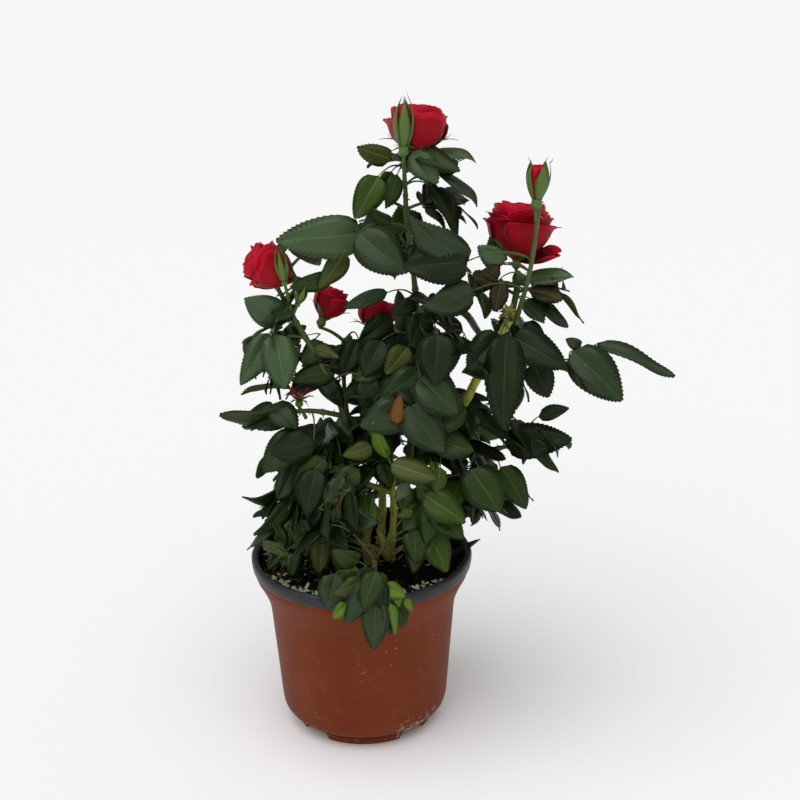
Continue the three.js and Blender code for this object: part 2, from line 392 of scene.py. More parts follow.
# Peat mix, nearly black and crumbly, with fibres a few millimetres long in dull brown.
PEAT = Finish(
    "peat potting mix", "0c0906", 0.95,
    (Veil("20170f", 4, 0.5, 0.68, 0.9, 5.0), Veil("46331f", 7, 0.68, 0.76, 0.5, 3.0)),
    0.9, 2.4, (1.0, 1.0, 1.0), (("Specular IOR Level", 0.1),),
)
BARK_CHIP = Finish(
    "composted bark", "35231a", 0.9, (Veil("6b4c33", 3, 0.45, 0.62, 0.9, 4.0),), 0.5, 1.5,
    shader=(("Specular IOR Level", 0.15),),
)
PERLITE = Finish("expanded perlite", "cfc9bd", 0.9)
WEED = Finish("weed seedling, grey-green", "8a9a72", 0.7)
WHITE_SWEEP = Finish("matte white sweep", "fdfdfd", 0.9)
# Cane skins: waxy green streaked lengthways, breaking into brown cork with age.
WOODY_BARK = Finish(
    "woody rose bark", "aa9a50", 0.7,
    (
        Veil("6b4e30", 3, 0.46, 0.66, 0.8, 4.0, (1.0, 1.0, 0.22)),
        Veil("9c9c48", 18, 0.46, 0.60, 0.8, 2.0),
    ),
    0.5, 2.0, (1.0, 1.0, 0.3),
)
RIPENING_BARK = Finish(
    "ripening rose bark", "b9bb3c", 0.55,
    (
        Veil("8f9834", 3, 0.42, 0.66, 0.8, 3.0, (1.0, 1.0, 0.2)),
        Veil("7a5a30", 14, 0.58, 0.66, 0.75, 4.0, (1.0, 1.0, 0.6)),
    ),
    0.35, 2.0, (1.0, 1.0, 0.3),
)
GREEN_BARK = Finish(
    "young rose bark", "48591f", 0.5,
    (
        Veil("324314", 3, 0.42, 0.70, 0.8, 3.0, (1.0, 1.0, 0.2)),
        Veil("5f4424", 12, 0.66, 0.74, 0.6, 3.0),
    ),
    0.2, 2.0, (1.0, 1.0, 0.3),
)
STRAW_PRICKLE = Finish("rose prickle, straw", "a89c5e", 0.5)
RUSSET_PRICKLE = Finish("rose prickle, russet", "80512f", 0.45)
LEAF_STALK = Finish("leaf stalk, green", "43531f", 0.5)
TWIG = Finish("twig, green", "44541f", 0.55)
CALYX = Finish("calyx, green", "4c6a22", 0.5)
STAMEN = Finish("dried anther, tan", "8a6a3a", 0.8)
# Petals: one plain colour for each depth of the flower, matte as velvet, faintly translucent; the heart's
# darker red is painted shade and the edges' brighter crimson is a painted highlight.
PETAL_SKIN = (
    ("Specular IOR Level", 0.16), ("Sheen Weight", 0.05), ("Sheen Roughness", 0.4),
    ("Subsurface Weight", 0.12), ("Subsurface Radius", (1.0, 0.08, 0.06)), ("Subsurface Scale", 1.5 * MM),
)
PETAL_PAINTED_SHADE = Finish("rose petal, shaded heart", "5a000b", 0.6, shader=PETAL_SKIN)
PETAL_BODY = Finish("rose petal, deep red", "960012", 0.55, shader=PETAL_SKIN)
# A painted highlight: the brighter crimson laid on the petals' edges.
PETAL_PAINTED_HIGHLIGHT = Finish("rose petal, crimson, painted highlight", "b60428", 0.5, shader=PETAL_SKIN)
PETAL_BACK = Finish("rose petal, outer face", "8a000e", 0.55, shader=PETAL_SKIN)
FADED_PETAL = Finish("rose petal, faded", "5e0a22", 0.7)


class Tint(Enum):
    """The colours of foliage, dealt out spray by spray. Three are copies of the dark leaf with light painted
    in: the darkest is painted shade, and two paler grey-green ones are painted light and a painted sheen.
    """

    DEEP = "deep"
    LIT = "painted-light"
    SHEEN = "painted-sheen"
    MID = "mid"
    FRESH = "fresh"
    LIME = "lime"
    BRONZE = "bronze"
    OLIVE = "olive"
    RUST = "rust"


TINT_SLOTS = {
    Tint.DEEP: "dark_leaf",
    Tint.LIT: "dark_leaf",
    Tint.SHEEN: "dark_leaf",
    Tint.MID: "dark_leaf",
    Tint.FRESH: "fresh_leaf",
    Tint.LIME: "fresh_leaf",
    Tint.BRONZE: "bronze_leaf",
    Tint.OLIVE: "fresh_leaf",
    Tint.RUST: "bronze_leaf",
}

# Upper face, midrib and underside of each tint, and the shine of the upper face.
TINT_COLOURS = {
    # Painted shade darkens the first row; painted light and a painted sheen lighten the next two.
    Tint.DEEP: ("172509", "2a3a18", "2b3c16", 0.20),
    Tint.LIT: ("263819", "3a4e2a", "3c5029", 0.34),
    Tint.SHEEN: ("3c5430", "546b40", "50663b", 0.42),
    Tint.MID: ("273a0d", "435723", "42591d", 0.24),
    Tint.FRESH: ("34490e", "58702a", "4d6522", 0.22),
    Tint.LIME: ("51701c", "7f9438", "6d8730", 0.22),
    Tint.BRONZE: ("2e2810", "574c28", "4a4320", 0.22),
    Tint.OLIVE: ("434c1c", "6c7436", "5c6428", 0.22),
    Tint.RUST: ("6a4212", "84602a", "6a4a1c", 0.22),
}


def leaf_finishes(tint: Tint) -> list[bpy.types.Material]:
    """Make the finishes of one tint of leaf.

    Args:
        tint: The tint.

    Returns:
        Its waxed upper face, its midrib and its duller underside.
    """
    above, rib, below, shine = TINT_COLOURS[tint]
    wax = (("Specular IOR Level", shine),)
    dull = (("Specular IOR Level", 0.2),)
    return [
        Finish(f"waxed leaf, {tint.value}", above, 0.38, (), 0.12, 2.6, shader=wax).build(),
        Finish(f"leaf midrib, {tint.value}", rib, 0.5, shader=dull).build(),
        Finish(f"leaf underside, {tint.value}", below, 0.7, shader=dull).build(),
    ]


# ---------------------------------------------------------------- heaps of small things


@dataclass
class Heap:
    """Many small things of one kind, gathered as arrays and joined into one mesh."""

    name: str
    materials: list[bpy.types.Material]
    points: list[np.ndarray] = field(default_factory=list)
    faces: list[np.ndarray] = field(default_factory=list)
    picks: list[np.ndarray] = field(default_factory=list)
    most_triangles: int = 190_000

    def add(self, points: np.ndarray, faces: np.ndarray, pick: np.ndarray | int = 0) -> None:
        """Add one small thing.

        Args:
            points: Its points, one row each.
            faces: Its faces, four point numbers each, the last two alike in a triangle.
            pick: Which material each face wears, or one for all.
        """
        self.points.append(np.asarray(points, dtype=float))
        self.faces.append(np.asarray(faces, dtype=int))
        self.picks.append(np.full(len(faces), pick) if np.isscalar(pick) else np.asarray(pick))

    def build(self, slot: str, nodes: tuple[str, ...] = ()) -> None:
        """Join everything gathered into objects of a moderate size.

        Args:
            slot: A material slot's name; not used.
            nodes: The frame's nodes that the first of them replaces.
        """
        if not self.points:
            return
        groups: list[list[int]] = [[]]
        load = 0
        for index, faces in enumerate(self.faces):
            triangles = int(len(faces) + (faces[:, 2] != faces[:, 3]).sum())
            if load + triangles > self.most_triangles:
                groups.append([])
                load = 0
            groups[-1].append(index)
            load += triangles
        for number, group in enumerate(groups):
            name = self.name if len(groups) == 1 else f"{self.name}-{number + 1}"
            self.join(name, group, () if number else nodes)

    def join(self, name: str, group: list[int], nodes: tuple[str, ...]) -> None:
        """Join some of the things gathered into one object.

        Args:
            name: The object's name.
            group: The numbers of the things to join.
            nodes: The frame's nodes that it replaces.
        """
        starts = np.cumsum([0] + [len(self.points[index]) for index in group])
        points = np.concatenate([self.points[index] for index in group])
        faces = np.concatenate([self.faces[index] + start for index, start in zip(group, starts)])
        picks = np.concatenate([self.picks[index] for index in group])
        lists = [tuple(f[:3]) if f[2] == f[3] else tuple(f) for f in faces.tolist()]
        mesh = bpy.data.meshes.new(name)
        mesh.from_pydata(points.tolist(), [], lists)
        for material in self.materials:
            mesh.materials.append(material)
        mesh.polygons.foreach_set("material_index", picks.astype(np.int32))
        mesh.polygons.foreach_set("use_smooth", np.ones(len(lists), dtype=bool))
        mesh.update()
        piece = bpy.data.objects.new(name, mesh)
        bpy.context.collection.objects.link(piece)
        finish_piece(piece, nodes)


def grid_faces(rows: int, columns: int, wrap: bool = False, start: int = 0) -> np.ndarray:
    """Faces of a grid of points laid row after row.

    Args:
        rows: How many rows of points.
        columns: How many points in a row.
        wrap: Whether the last column joins the first.
        start: The number of the grid's first point.

    Returns:
        Four point numbers for each face.
    """
    across = columns if wrap else columns - 1
    row, column = np.meshgrid(np.arange(rows - 1), np.arange(across), indexing="ij")
    row, column = row.ravel(), column.ravel()
    following = (column + 1) % columns
    corners = (
        row * columns + column, row * columns + following,
        (row + 1) * columns + following, (row + 1) * columns + column,
    )
    return np.stack(corners, axis=1) + start


def in_triangles(faces: np.ndarray) -> np.ndarray:
    """Split four-cornered faces, all along the same diagonal.

    Args:
        faces: Four point numbers for each face.

    Returns:
        Twice as many faces, each with its last point repeated.
    """
    first, second = faces[:, (0, 1, 2, 2)], faces[:, (0, 2, 3, 3)]
    return np.stack([first, second], axis=1).reshape(-1, 4)


def tube(path: np.ndarray, radii: np.ndarray, sides: int = 6) -> Pair:
    """A closed round tube along a path.

    Args:
        path: The points of its centre line.
        radii: Its radius at each point.
        sides: How many sides it has.

    Returns:
        Its points and faces.
    """
    count = len(path)
    tangents = np.gradient(path, axis=0)
    side = np.cross(tangents[0], (0.31, 0.87, 0.38))
    rings = []
    angles = np.arange(sides) * (2 * math.pi / sides)
    for index in range(count):
        along = unit(tangents[index])
        side = unit(side - along * float(side @ along))
        other = np.cross(along, side)
        ring = np.outer(np.cos(angles), side) + np.outer(np.sin(angles), other)
        rings.append(path[index] + ring * radii[index])
    points = np.concatenate([*rings, path[:1], path[-1:]])
    foot, tip = count * sides, count * sides + 1
    faces = [grid_faces(count, sides, wrap=True)]
    ends = []
    for index in range(sides):
        following = (index + 1) % sides
        ends.append((foot, following, index, index))
        last = (count - 1) * sides
        ends.append((tip, last + index, last + following, last + following))
    return points, np.concatenate([faces[0], np.array(ends)])


def bowed(start: np.ndarray, end: np.ndarray, bow: np.ndarray, count: int = 7) -> np.ndarray:
    """A smooth bowed path between two points.

    Args:
        start: Its first point.
        end: Its last point.
        bow: How far its middle stands off the straight line.
        count: How many points it has.

    Returns:
        The points of the path.
    """
    shares = np.linspace(0, 1, count)[:, None]
    return start + (end - start) * shares + bow * (4 * shares * (1 - shares))


# ---------------------------------------------------------------- pot and potting mix


@dataclass
class NurseryPot:
    """The thermoformed container: shouldered wall, rounded corner and recessed foot."""

    segments: int = 96
    foot_radius: float = 60 * MM
    hole_radius: float = 4.5 * MM
    hole_circle: float = 32 * MM
    notch_width: float = 31 * MM
    notch_turn: float = -2.0
    notch_roof: float = 0.9 * MM
    press_depth: float = 40 * MM
    press_overlap: float = 5 * MM
    drill_depth: float = 12 * MM
    thickness: float = 1.2 * MM
    corner_rings: int = 9
    floor_band: tuple[float, float] = (10 * MM, 16 * MM)
    inside_from: float = 9 * MM
    notch_height: float = 9 * MM
    profile: Profile = (
        (61.0, 0.0), (62.3, 0.6), (62.8, 2.8), (62.2, 5.8), (60.8, 7.2), (62.4, 8.4), (65.6, 9.8),
        (69.4, 11.8), (72.4, 14.4), (74.5, 17.6), (75.7, 21.0), (76.2, 24.4), (77.6, 40.0),
        (79.6, 66.0), (81.8, 92.0), (83.6, 114.0), (84.6, 120.0), (86.4, 126.4), (89.2, 133.4),
        (92.6, 140.4), (95.4, 145.4), (96.7, 149.0), (97.2, 153.6),
    )
    floor: Profile = ((70.0, 14.2), (64.0, 11.4), (56.0, 10.6), (0.4, 10.6))
    underside: Profile = (
        (0.4, 8.6), (20, 8.6), (44, 8.6), (50, 8.0), (54, 5.4), (56.4, 1.4), (57.6, 0.0),
    )

    def build(self) -> None:
        """Turn the wall, close it inside, then form the notches and the drain holes."""
        wall, floor, under = (
            [(radius * MM, height * MM) for radius, height in part]
            for part in (self.profile, self.floor, self.underside)
        )
        inside = [(radius - self.thickness, height) for radius, height in wall[:self.corner_rings:-1]]
        piece = turned("pot-wall", wall + inside + floor + under + [wall[0]], self.segments)
        close_up(piece)
        self.form_notches(piece)
        self.cut_holes(piece)
        piece.data.materials.append(TERRACOTTA_SHEET.build())
        piece.data.materials.append(BLACK_SHEET.build())
        piece.data.polygons.foreach_set("material_index", self.inner_faces(piece).astype(np.int32))
        finish_piece(piece, ("nursery-pot",))

    def inner_faces(self, piece: bpy.types.Object) -> np.ndarray:
        """Find the faces of the black inner layer.

        Args:
            piece: The pot.

        Returns:
            Whether each face looks inwards or is the floor's upper side.
        """
        middles = np.array([polygon.center[:] for polygon in piece.data.polygons])
        normals = np.array([polygon.normal[:] for polygon in piece.data.polygons])
        facing = middles[:, 0] * normals[:, 0] + middles[:, 1] * normals[:, 1]
        height = middles[:, 2]
        floor = (normals[:, 2] > 0.7) & (height > self.floor_band[0]) & (height < self.floor_band[1])
        wall = (facing < -0.2 * np.hypot(middles[:, 0], middles[:, 1])) & (height > self.inside_from)
        return wall | floor

    def form_notches(self, piece: bpy.types.Object) -> None:
        """Press four arched notches up through the foot ring, between the axes.

        Args:
            piece: The pot.
        """
        radius_of_press = self.notch_width / 2
        for quarter in range(4):
            turn = math.radians(45 + 90 * quarter + self.notch_turn)
            deselect()
            bpy.ops.mesh.primitive_cylinder_add(
                vertices=40, radius=radius_of_press, depth=self.press_depth, location=(0, 0, 0),
                rotation=(0, math.pi / 2, 0),
            )
            press = bpy.context.object
            bpy.ops.transform.resize(value=(1, 1, (self.notch_height - self.notch_roof) / radius_of_press))
            bpy.ops.transform.rotate(value=-turn, orient_axis="Z", center_override=(0, 0, 0))
            reach = self.foot_radius + self.press_overlap
            bpy.ops.transform.translate(value=(reach * math.cos(turn), reach * math.sin(turn), 0))
            self.cut(piece, press)

    def cut_holes(self, piece: bpy.types.Object) -> None:
        """Drill the four drain holes through the floor.

        Args:
            piece: The pot.
        """
        for quarter in range(4):
            turn = math.radians(90 * quarter)
            place = (
                self.hole_circle * math.cos(turn), self.hole_circle * math.sin(turn), self.floor_band[0],
            )
            deselect()
            bpy.ops.mesh.primitive_cylinder_add(
                vertices=24, radius=self.hole_radius, depth=self.drill_depth, location=place,
            )
            self.cut(piece, bpy.context.object)

    def cut(self, piece: bpy.types.Object, tool: bpy.types.Object) -> None:
        """Subtract a tool from the pot and clear the tool away.

        Args:
            piece: The pot.
            tool: The closed shape to take out of it.
        """
        choose(piece)
        boolean = piece.modifiers.new("cut", "BOOLEAN")
        boolean.operation = "DIFFERENCE"
        boolean.solver = "EXACT"
        boolean.object = tool
        bpy.ops.object.modifier_apply(modifier=boolean.name)
        bpy.data.objects.remove(tool, do_unlink=True)
        deselect()


@dataclass
class RolledRim:
    """The pot's black rolled rim: a rounded bead over a short upright band."""

    segments: int = 120
    bead_foot: float = 155 * MM
    bead_top: float = 165 * MM
    sag: float = 0.5 * MM
    profile: Profile = (
        (97.6, 153.0), (98.6, 153.3), (99.2, 154.4), (99.6, 157.0), (99.9, 160.4), (99.8, 162.6),
        (99.0, 164.2), (97.6, 165.0), (96.0, 164.9), (94.6, 164.0), (93.6, 162.2), (93.2, 159.0),
        (93.3, 155.4), (94.0, 153.6), (95.4, 153.2), (96.6, 153.0),
    )

    def build(self) -> None:
        """Turn the closed ring and dent it slightly, as a thin formed rim is."""
        ring = [(radius * MM, height * MM) for radius, height in self.profile]
        piece = turned("pot-rolled-rim", ring + [ring[0]], self.segments)
        close_up(piece)
        for vertex in piece.data.vertices:
            turn = math.atan2(vertex.co.y, vertex.co.x)
            dent = 0.35 * math.sin(3 * turn + 0.6) + 0.25 * math.sin(7 * turn)
            vertex.co.x -= math.cos(turn) * abs(dent) * MM
            vertex.co.y -= math.sin(turn) * abs(dent) * MM
            top = smoothstep(self.bead_foot, self.bead_top, vertex.co.z)
            vertex.co.z -= self.sag * abs(math.sin(2 * turn + 0.5)) * top
        piece.data.materials.append(BLACK_SHEET.build())
        finish_piece(piece, ("pot-rim",))


@dataclass
class PottingMix:
    """The peat surface with its bark chips, crumbs, perlite and a few sprouts of weed."""

    top: float = 151 * MM
    radius: float = 92.6 * MM
    rings: int = 44
    segments: int = 132
    chips: int = 210
    crumbs: int = 620
    grains: int = 110
    sprouts: int = 64
    bed: float = 141 * MM
    bed_share: float = 0.90
    label_foot: Triple = (84.0, 12.0, 150.0)
    label_tip: Triple = (108.5, 4.0, 170.0)
    label_radii: tuple[float, ...] = (5.0, 4.6, 4.0, 3.0, 1.8, 0.3)

    def height(self, x: float, y: float) -> float:
        """Find the surface's height at a place.

        Args:
            x: How far right it lies.
            y: How far back it lies.

        Returns:
            The height.
        """
        place = Vector((x, y, 0.0))
        swell = 1.6 * noise.noise(place / (30 * MM)) + 1.3 * noise.noise(place / (9 * MM))
        swell += 0.9 * noise.noise(place / (3.4 * MM))
        return self.top + swell * MM

    def build(self, rng: random.Random) -> None:
        """Lay the surface and everything scattered on it.

        Args:
            rng: The source of chance.
        """
        points = [(0.0, 0.0, self.height(0.0, 0.0))]
        for ring in range(1, self.rings + 1):
            radius = self.radius * ring / self.rings
            for index in range(self.segments):
                turn = 2 * math.pi * index / self.segments
                x, y = radius * math.cos(turn), radius * math.sin(turn)
                points.append((x, y, self.height(x, y)))
        for index in range(self.segments):
            turn = 2 * math.pi * index / self.segments
            reach = self.bed_share * self.radius
            points.append((reach * math.cos(turn), reach * math.sin(turn), self.bed))
        points.append((0.0, 0.0, self.bed))
        faces = grid_faces(self.rings + 1, self.segments, wrap=True, start=1).tolist()
        last = 1 + self.rings * self.segments
        for index in range(self.segments):
            following = (index + 1) % self.segments
            faces.append([0, 1 + following, 1 + index, 1 + index])
            faces.append([last + self.segments, last + index, last + following, last + following])
        soil = Heap("potting-mix", [PEAT.build()])
        soil.add(np.array(points), np.array(faces))
        soil.build("growing_medium", ("growing-medium",))
        self.scatter(rng)
        self.weeds(rng)
        self.label()

    def lump(
        self, heap: Heap, place: tuple[float, float], size: Triple, rng: random.Random,
    ) -> None:
        """Drop one broken lump on the surface.

        Args:
            heap: Where it goes.
            place: Its X and Y.
            size: Its length, width and height.
            rng: The source of chance.
        """
        corners = []
        for z in (-0.5, 0.5):
            for turn in (0.0, 1.0, 2.1, 3.1, 4.2, 5.2):
                reach = rng.uniform(0.7, 1.1) * (0.5 if z < 0 else 0.42)
                corners.append((math.cos(turn) * reach, math.sin(turn) * reach, z * rng.uniform(0.6, 1.0)))
        shape = np.array(corners) * size
        axes = axes_along(
            np.array((rng.uniform(-1, 1), rng.uniform(-1, 1), rng.uniform(-0.25, 0.25))),
            np.array((rng.uniform(-0.5, 0.5), rng.uniform(-0.5, 0.5), 1.0)),
        )
        x, y = place
        foot = np.array((x, y, self.height(x, y) + size[2] * 0.25))
        faces = [(i, (i + 1) % 6, (i + 1) % 6 + 6, i + 6) for i in range(6)]
        faces += [(0, 3, 2, 1), (0, 5, 4, 3), (6, 7, 8, 9), (6, 9, 10, 11)]
        heap.add(foot + shape @ axes, np.array(faces))

    def spot(self, rng: random.Random) -> tuple[float, float]:
        """Pick a place on the surface, evenly by area.

        Args:
            rng: The source of chance.

        Returns:
            Its X and Y.
        """
        radius = self.radius * 0.97 * math.sqrt(rng.random())
        turn = rng.uniform(0, 2 * math.pi)
        return radius * math.cos(turn), radius * math.sin(turn)

    def scatter(self, rng: random.Random) -> None:
        """Scatter chips, crumbs and grains; chips lie thickest at the left.

        Args:
            rng: The source of chance.
        """
        chips = Heap("bark-chips", [BARK_CHIP.build()])
        crumbs = Heap("peat-crumbs", [PEAT.build()])
        grains = Heap("perlite-grains", [PERLITE.build()])
        placed = 0
        while placed < self.chips:
            x, y = self.spot(rng)
            if rng.random() < 0.35 + 0.65 * smoothstep(0.06, -0.09, x):
                long = rng.uniform(4, 13) * MM
                size = (long, long * rng.uniform(0.3, 0.6), rng.uniform(1.2, 2.6) * MM)
                self.lump(chips, (x, y), size, rng)
                placed += 1
        for _ in range(self.crumbs):
            size = rng.uniform(1.4, 4.2) * MM
            self.lump(crumbs, self.spot(rng), (size, size * 0.8, size * 0.7), rng)
        for _ in range(self.grains):
            size = rng.uniform(0.8, 2.4) * MM
            self.lump(grains, self.spot(rng), (size, size * 0.9, size * 0.8), rng)
        chips.build("growing_medium")
        crumbs.build("growing_medium")
        grains.build("perlite")

    def weeds(self, rng: random.Random) -> None:
        """Grow the small sprouts of weed that stand inside the rim at the front left.

        Args:
            rng: The source of chance.
        """
        sprouts = Heap("weed-sprouts", [WEED.build()])
        for _ in range(self.sprouts):
            turn = math.radians(rng.gauss(243, 17))
            reach = rng.uniform(0.88, 0.98) * self.radius
            if rng.random() < 0.1:
                turn = math.radians(rng.gauss(305, 6))
            x, y = reach * math.cos(turn), reach * math.sin(turn)
            foot = np.array((x, y, self.height(x, y) - 0.5 * MM))
            lean = np.array((rng.uniform(-0.6, 0.6), rng.uniform(-0.6, 0.4), 1.0))
            tall = rng.uniform(3, 9) * MM
            top = foot + unit(lean) * tall
            sprouts.add(*tube(bowed(foot, top, RISE * 0.6 * MM, 4), np.full(4, 0.3 * MM), 4))
            for _ in range(rng.choice((2, 3, 4))):
                way = np.array((rng.uniform(-1, 1), rng.uniform(-1, 1), rng.uniform(0.0, 0.7)))
                points, faces, _ = SPROUT_BLADE.build(rng.uniform(3.5, 8) * MM, 3.0 * MM, 0.2, 0.4, 0.0, rng)
                sprouts.add(top + points @ axes_along(way, np.array((0.0, -0.3, 1.0))), faces)
        sprouts.build("fresh_leaf")

    def label(self) -> None:
        """Stand the black tip of a buried label beside the rim at the right."""
        tip = Heap("label-tip", [BLACK_SHEET.build()])
        path = bowed(np.array(self.label_foot) * MM, np.array(self.label_tip) * MM, RISE * MM, 6)
        tip.add(*tube(path, np.array(self.label_radii) * MM, 6))
        tip.build("black_plastic")


# ---------------------------------------------------------------- limbs


# The shoot that arches over the rim: its foot is the end further back.
ARCHING_SHOOT = "shoot-front"


@dataclass
class Limb:
    """One cane or bough: the centre line and radii measured from its node."""

    node: str
    path: np.ndarray
    radii: np.ndarray

    @classmethod
    def measured(cls, node: str, count: int = 11) -> "Limb":
        """Read a limb's centre line off its node by slicing it across its longer way.

        Args:
            node: The node's name.
            count: How many slices to take.

        Returns:
            The limb, from its foot to its tip.
        """
        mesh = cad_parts[node].data
        points = np.empty(len(mesh.vertices) * 3)
        mesh.vertices.foreach_get("co", points)
        points = points.reshape(-1, 3)
        edges = np.array([edge.vertices[:] for edge in mesh.edges])
        spans = points.max(axis=0) - points.min(axis=0)
        axis = 2 if spans[2] > 0.6 * spans.max() else int(np.argmax(spans))
        low, high = points[:, axis].min(), points[:, axis].max()
        inset = 0.06 * (high - low)
        levels = np.linspace(low + inset, high - inset, count)
        if axis != 2 and points[np.argmin(points[:, axis]), 2] > points[np.argmax(points[:, axis]), 2]:
            levels = levels[::-1]
        if node == ARCHING_SHOOT:
            levels = np.linspace(high - inset, low + inset, count)
        path, radii = [], []
        first, second = points[edges[:, 0]], points[edges[:, 1]]
        for level in levels:
            crossing = (first[:, axis] - level) * (second[:, axis] - level) < 0
            near, far = first[crossing], second[crossing]
            share = ((level - near[:, axis]) / (far[:, axis] - near[:, axis]))[:, None]
            cut = near + (far - near) * share
            middle = (cut.max(axis=0) + cut.min(axis=0)) / 2
            path.append(middle)
            radii.append(np.linalg.norm(cut - middle, axis=1).min())
        path = np.array(path)
        deep = 0.6 if node.startswith("cane") else 1.3
        ends = path[0] + (path[0] - path[1]) * deep, path[-1] + (path[-1] - path[-2]) * 0.6
        path = np.concatenate([[ends[0]], path, [ends[1]]])
        radii = np.array([radii[0], *radii, radii[-1]])
        return cls(node, path, radii * 1.05)

    def at(self, share: float) -> np.ndarray:
        """Find the point a share of the way from foot to tip.

        Args:
            share: The share.

        Returns:
            The point.
        """
        place = share * (len(self.path) - 1)
        index = min(int(place), len(self.path) - 2)
        return self.path[index] + (self.path[index + 1] - self.path[index]) * (place - index)

    def along(self, share: float) -> np.ndarray:
        """Find the direction of growth a share of the way up.

        Args:
            share: The share.

        Returns:
            The direction, at unit length.
        """
        return unit(self.at(min(share + 0.05, 1.0)) - self.at(max(share - 0.05, 0.0)))

    def radius(self, share: float) -> float:
        """Find the radius a share of the way up.

        Args:
            share: The share.

        Returns:
            The radius.
        """
        return float(np.interp(share * (len(self.radii) - 1), np.arange(len(self.radii)), self.radii))


@dataclass
class Canes:
    """Every cane and bough with its bark and prickles."""

    limbs: list[Limb]
    sides: int = 14
    least_rings: int = 12
    swelling: float = 0.22
    flare: float = 0.35
    flare_height: float = 7 * MM
    relief_size: float = 5 * MM
    rough: float = 0.16
    rough_stub: float = 0.28
    ring_pitch: float = 2.2 * MM
    node_pitch: float = 26 * MM
    prickle_pitch: float = 8.5 * MM
    prickle_length: float = 5.2 * MM
    foot_of_prickles: float = 0.20
    woody: tuple[str, ...] = ("stub-cut", "bough-left-side")
    ripening: tuple[str, ...] = ("cane-centre", "cane-right", "cane-back")
    knot_at: Triple = (129, -17, 389)
    knot_stubs: int = 34
    tuft_at: Triple = (20, -8, 163)
    tuft_spread: Triple = (7, 3, 5)
    tuft_prickles: int = 26
    heads: tuple[tuple[tuple[float, ...], tuple[float, ...], float], ...] = (
        ((22, -2, 160), (-4, -12, 178), 2.6),
        ((24, -6, 158), (14, -16, 192), 4.0),
        ((26, -6, 160), (46, -16, 178), 2.2),
    )

    def bark_mesh(self, limb: Limb, rng: random.Random) -> Pair:
        """Sweep a limb with swollen nodes, ribs and cork.

        Args:
            limb: The limb to sweep.
            rng: Its source of chance.

        Returns:
            Points and faces.
        """
        length = float(np.linalg.norm(np.diff(limb.path, axis=0), axis=1).sum())
        rings = max(self.least_rings, int(length / self.ring_pitch))
        shares = np.linspace(0, 1, rings)
        path = np.array([limb.at(share) for share in shares])
        for _ in range(3):
            path[1:-1] = (path[:-2] + 2 * path[1:-1] + path[2:]) / 4
        offset = rng.uniform(0, 1)
        radii = []
        for share in shares:
            phase = (share * length / self.node_pitch + offset) % 1.0
            swelling = self.swelling * math.exp(-((phase - 0.5) / 0.06) ** 2)
            flare = self.flare * math.exp(-share * length / self.flare_height)
            if not limb.node.startswith("cane"):
                flare = 0.0
            radii.append(limb.radius(share) * (1 + swelling + flare))
        points, faces = tube(path, np.array(radii), self.sides)
        rough = self.rough_stub if limb.node == "stub-cut" else self.rough
        for index in range(rings * self.sides):
            ring = index // self.sides
            place = Vector(points[index] * (1 / self.relief_size))
            place.z *= 0.35
            relief = rough * noise.noise(place) + 0.06 * noise.noise(place * 3.1)
            points[index] = path[ring] + (points[index] - path[ring]) * (1 + relief)
        return points, faces

    def prickle(self, heap: Heap, limb: Limb, share: float, rng: random.Random, size: float) -> None:
        """Add one hooked prickle.

        Args:
            heap: Where it goes.
            limb: The limb it stands on.
            share: How far up the limb.
            rng: Its source of chance.
            size: Its length.
        """
        along = limb.along(share)
        turn = rng.uniform(0, 2 * math.pi)
        side = unit(np.cross(along, (0.2, 0.3, 0.93 if abs(along[2]) < 0.9 else 0.1)))
        other = np.cross(along, side)
        out = math.cos(turn) * side + math.sin(turn) * other
        root = limb.at(share) + out * limb.radius(share) * 0.8
        path = np.array([root, root + out * size * 0.55, root + out * size - along * size * 0.35])
        points, faces = tube(path, np.array((0.30, 0.13, 0.02)) * size, 5)
        heap.add(points, faces)

    def build(self) -> None:
        """Make the bark of every limb and all the prickles."""
        skins = {
            "woody": WOODY_BARK.build(),
            "mixed": RIPENING_BARK.build(),
            "green": GREEN_BARK.build(),
        }
        prickles = Heap("prickles", [STRAW_PRICKLE.build()])
        young = Heap("prickles-young", [RUSSET_PRICKLE.build()])
        for number, limb in enumerate(self.limbs):
            rng = random.Random(SEED * 100 + number)
            woody = limb.node in self.woody
            kind = "woody" if woody else "mixed" if limb.node in self.ripening else "green"
            heap = Heap(f"bark-{limb.node}", [skins[kind]])
            heap.add(*self.bark_mesh(limb, rng))
            heap.build("brown_bark" if woody else "green_bark", (limb.node,))
            if woody:
                continue
            length = float(np.linalg.norm(np.diff(limb.path, axis=0), axis=1).sum())
            for index in range(int(length / self.prickle_pitch)):
                share = (index + rng.random()) * self.prickle_pitch / length
                low = share < self.foot_of_prickles and limb.node.startswith("cane")
                size = self.prickle_length * rng.uniform(0.6, 1.15) * (1.25 if low else 0.8)
                if share < 1 and (low or rng.random() < 0.65):
                    self.prickle(prickles if low else young, limb, share, rng, size)
        prickles.build("green_bark")
        young.build("brown_bark")
        rng = random.Random(SEED * 17)
        self.knot(rng)
        self.tuft(rng)

    def knot(self, rng: random.Random) -> None:
        """Make the dried knot of old stubs on the right cane, and the stub heads at the foot.

        Args:
            rng: The source of chance.
        """
        knot = Heap("pruned-knot", [WOODY_BARK.build()])
        middle = np.array(self.knot_at) * MM
        for _ in range(self.knot_stubs):
            way = unit(np.array([rng.uniform(-1, 1), rng.uniform(-1, 0.8), rng.uniform(-0.5, 1)]))
            end = middle + way * rng.uniform(5, 10) * MM
            bow = jitter(1, rng) * MM
            knot.add(*tube(bowed(middle, end, bow, 5), np.array((3.0, 2.4, 1.7, 1.1, 0.4)) * MM, 6))
        for foot, end, thick in self.heads:
            path = bowed(np.array(foot) * MM, np.array(end) * MM, np.array((0.0, -1.0, 2.0)) * MM, 7)
            knot.add(*tube(path, np.array((1.0, 1.05, 1.0, 0.9, 0.75, 0.5, 0.12)) * thick * MM, 8))
        knot.build("brown_bark")

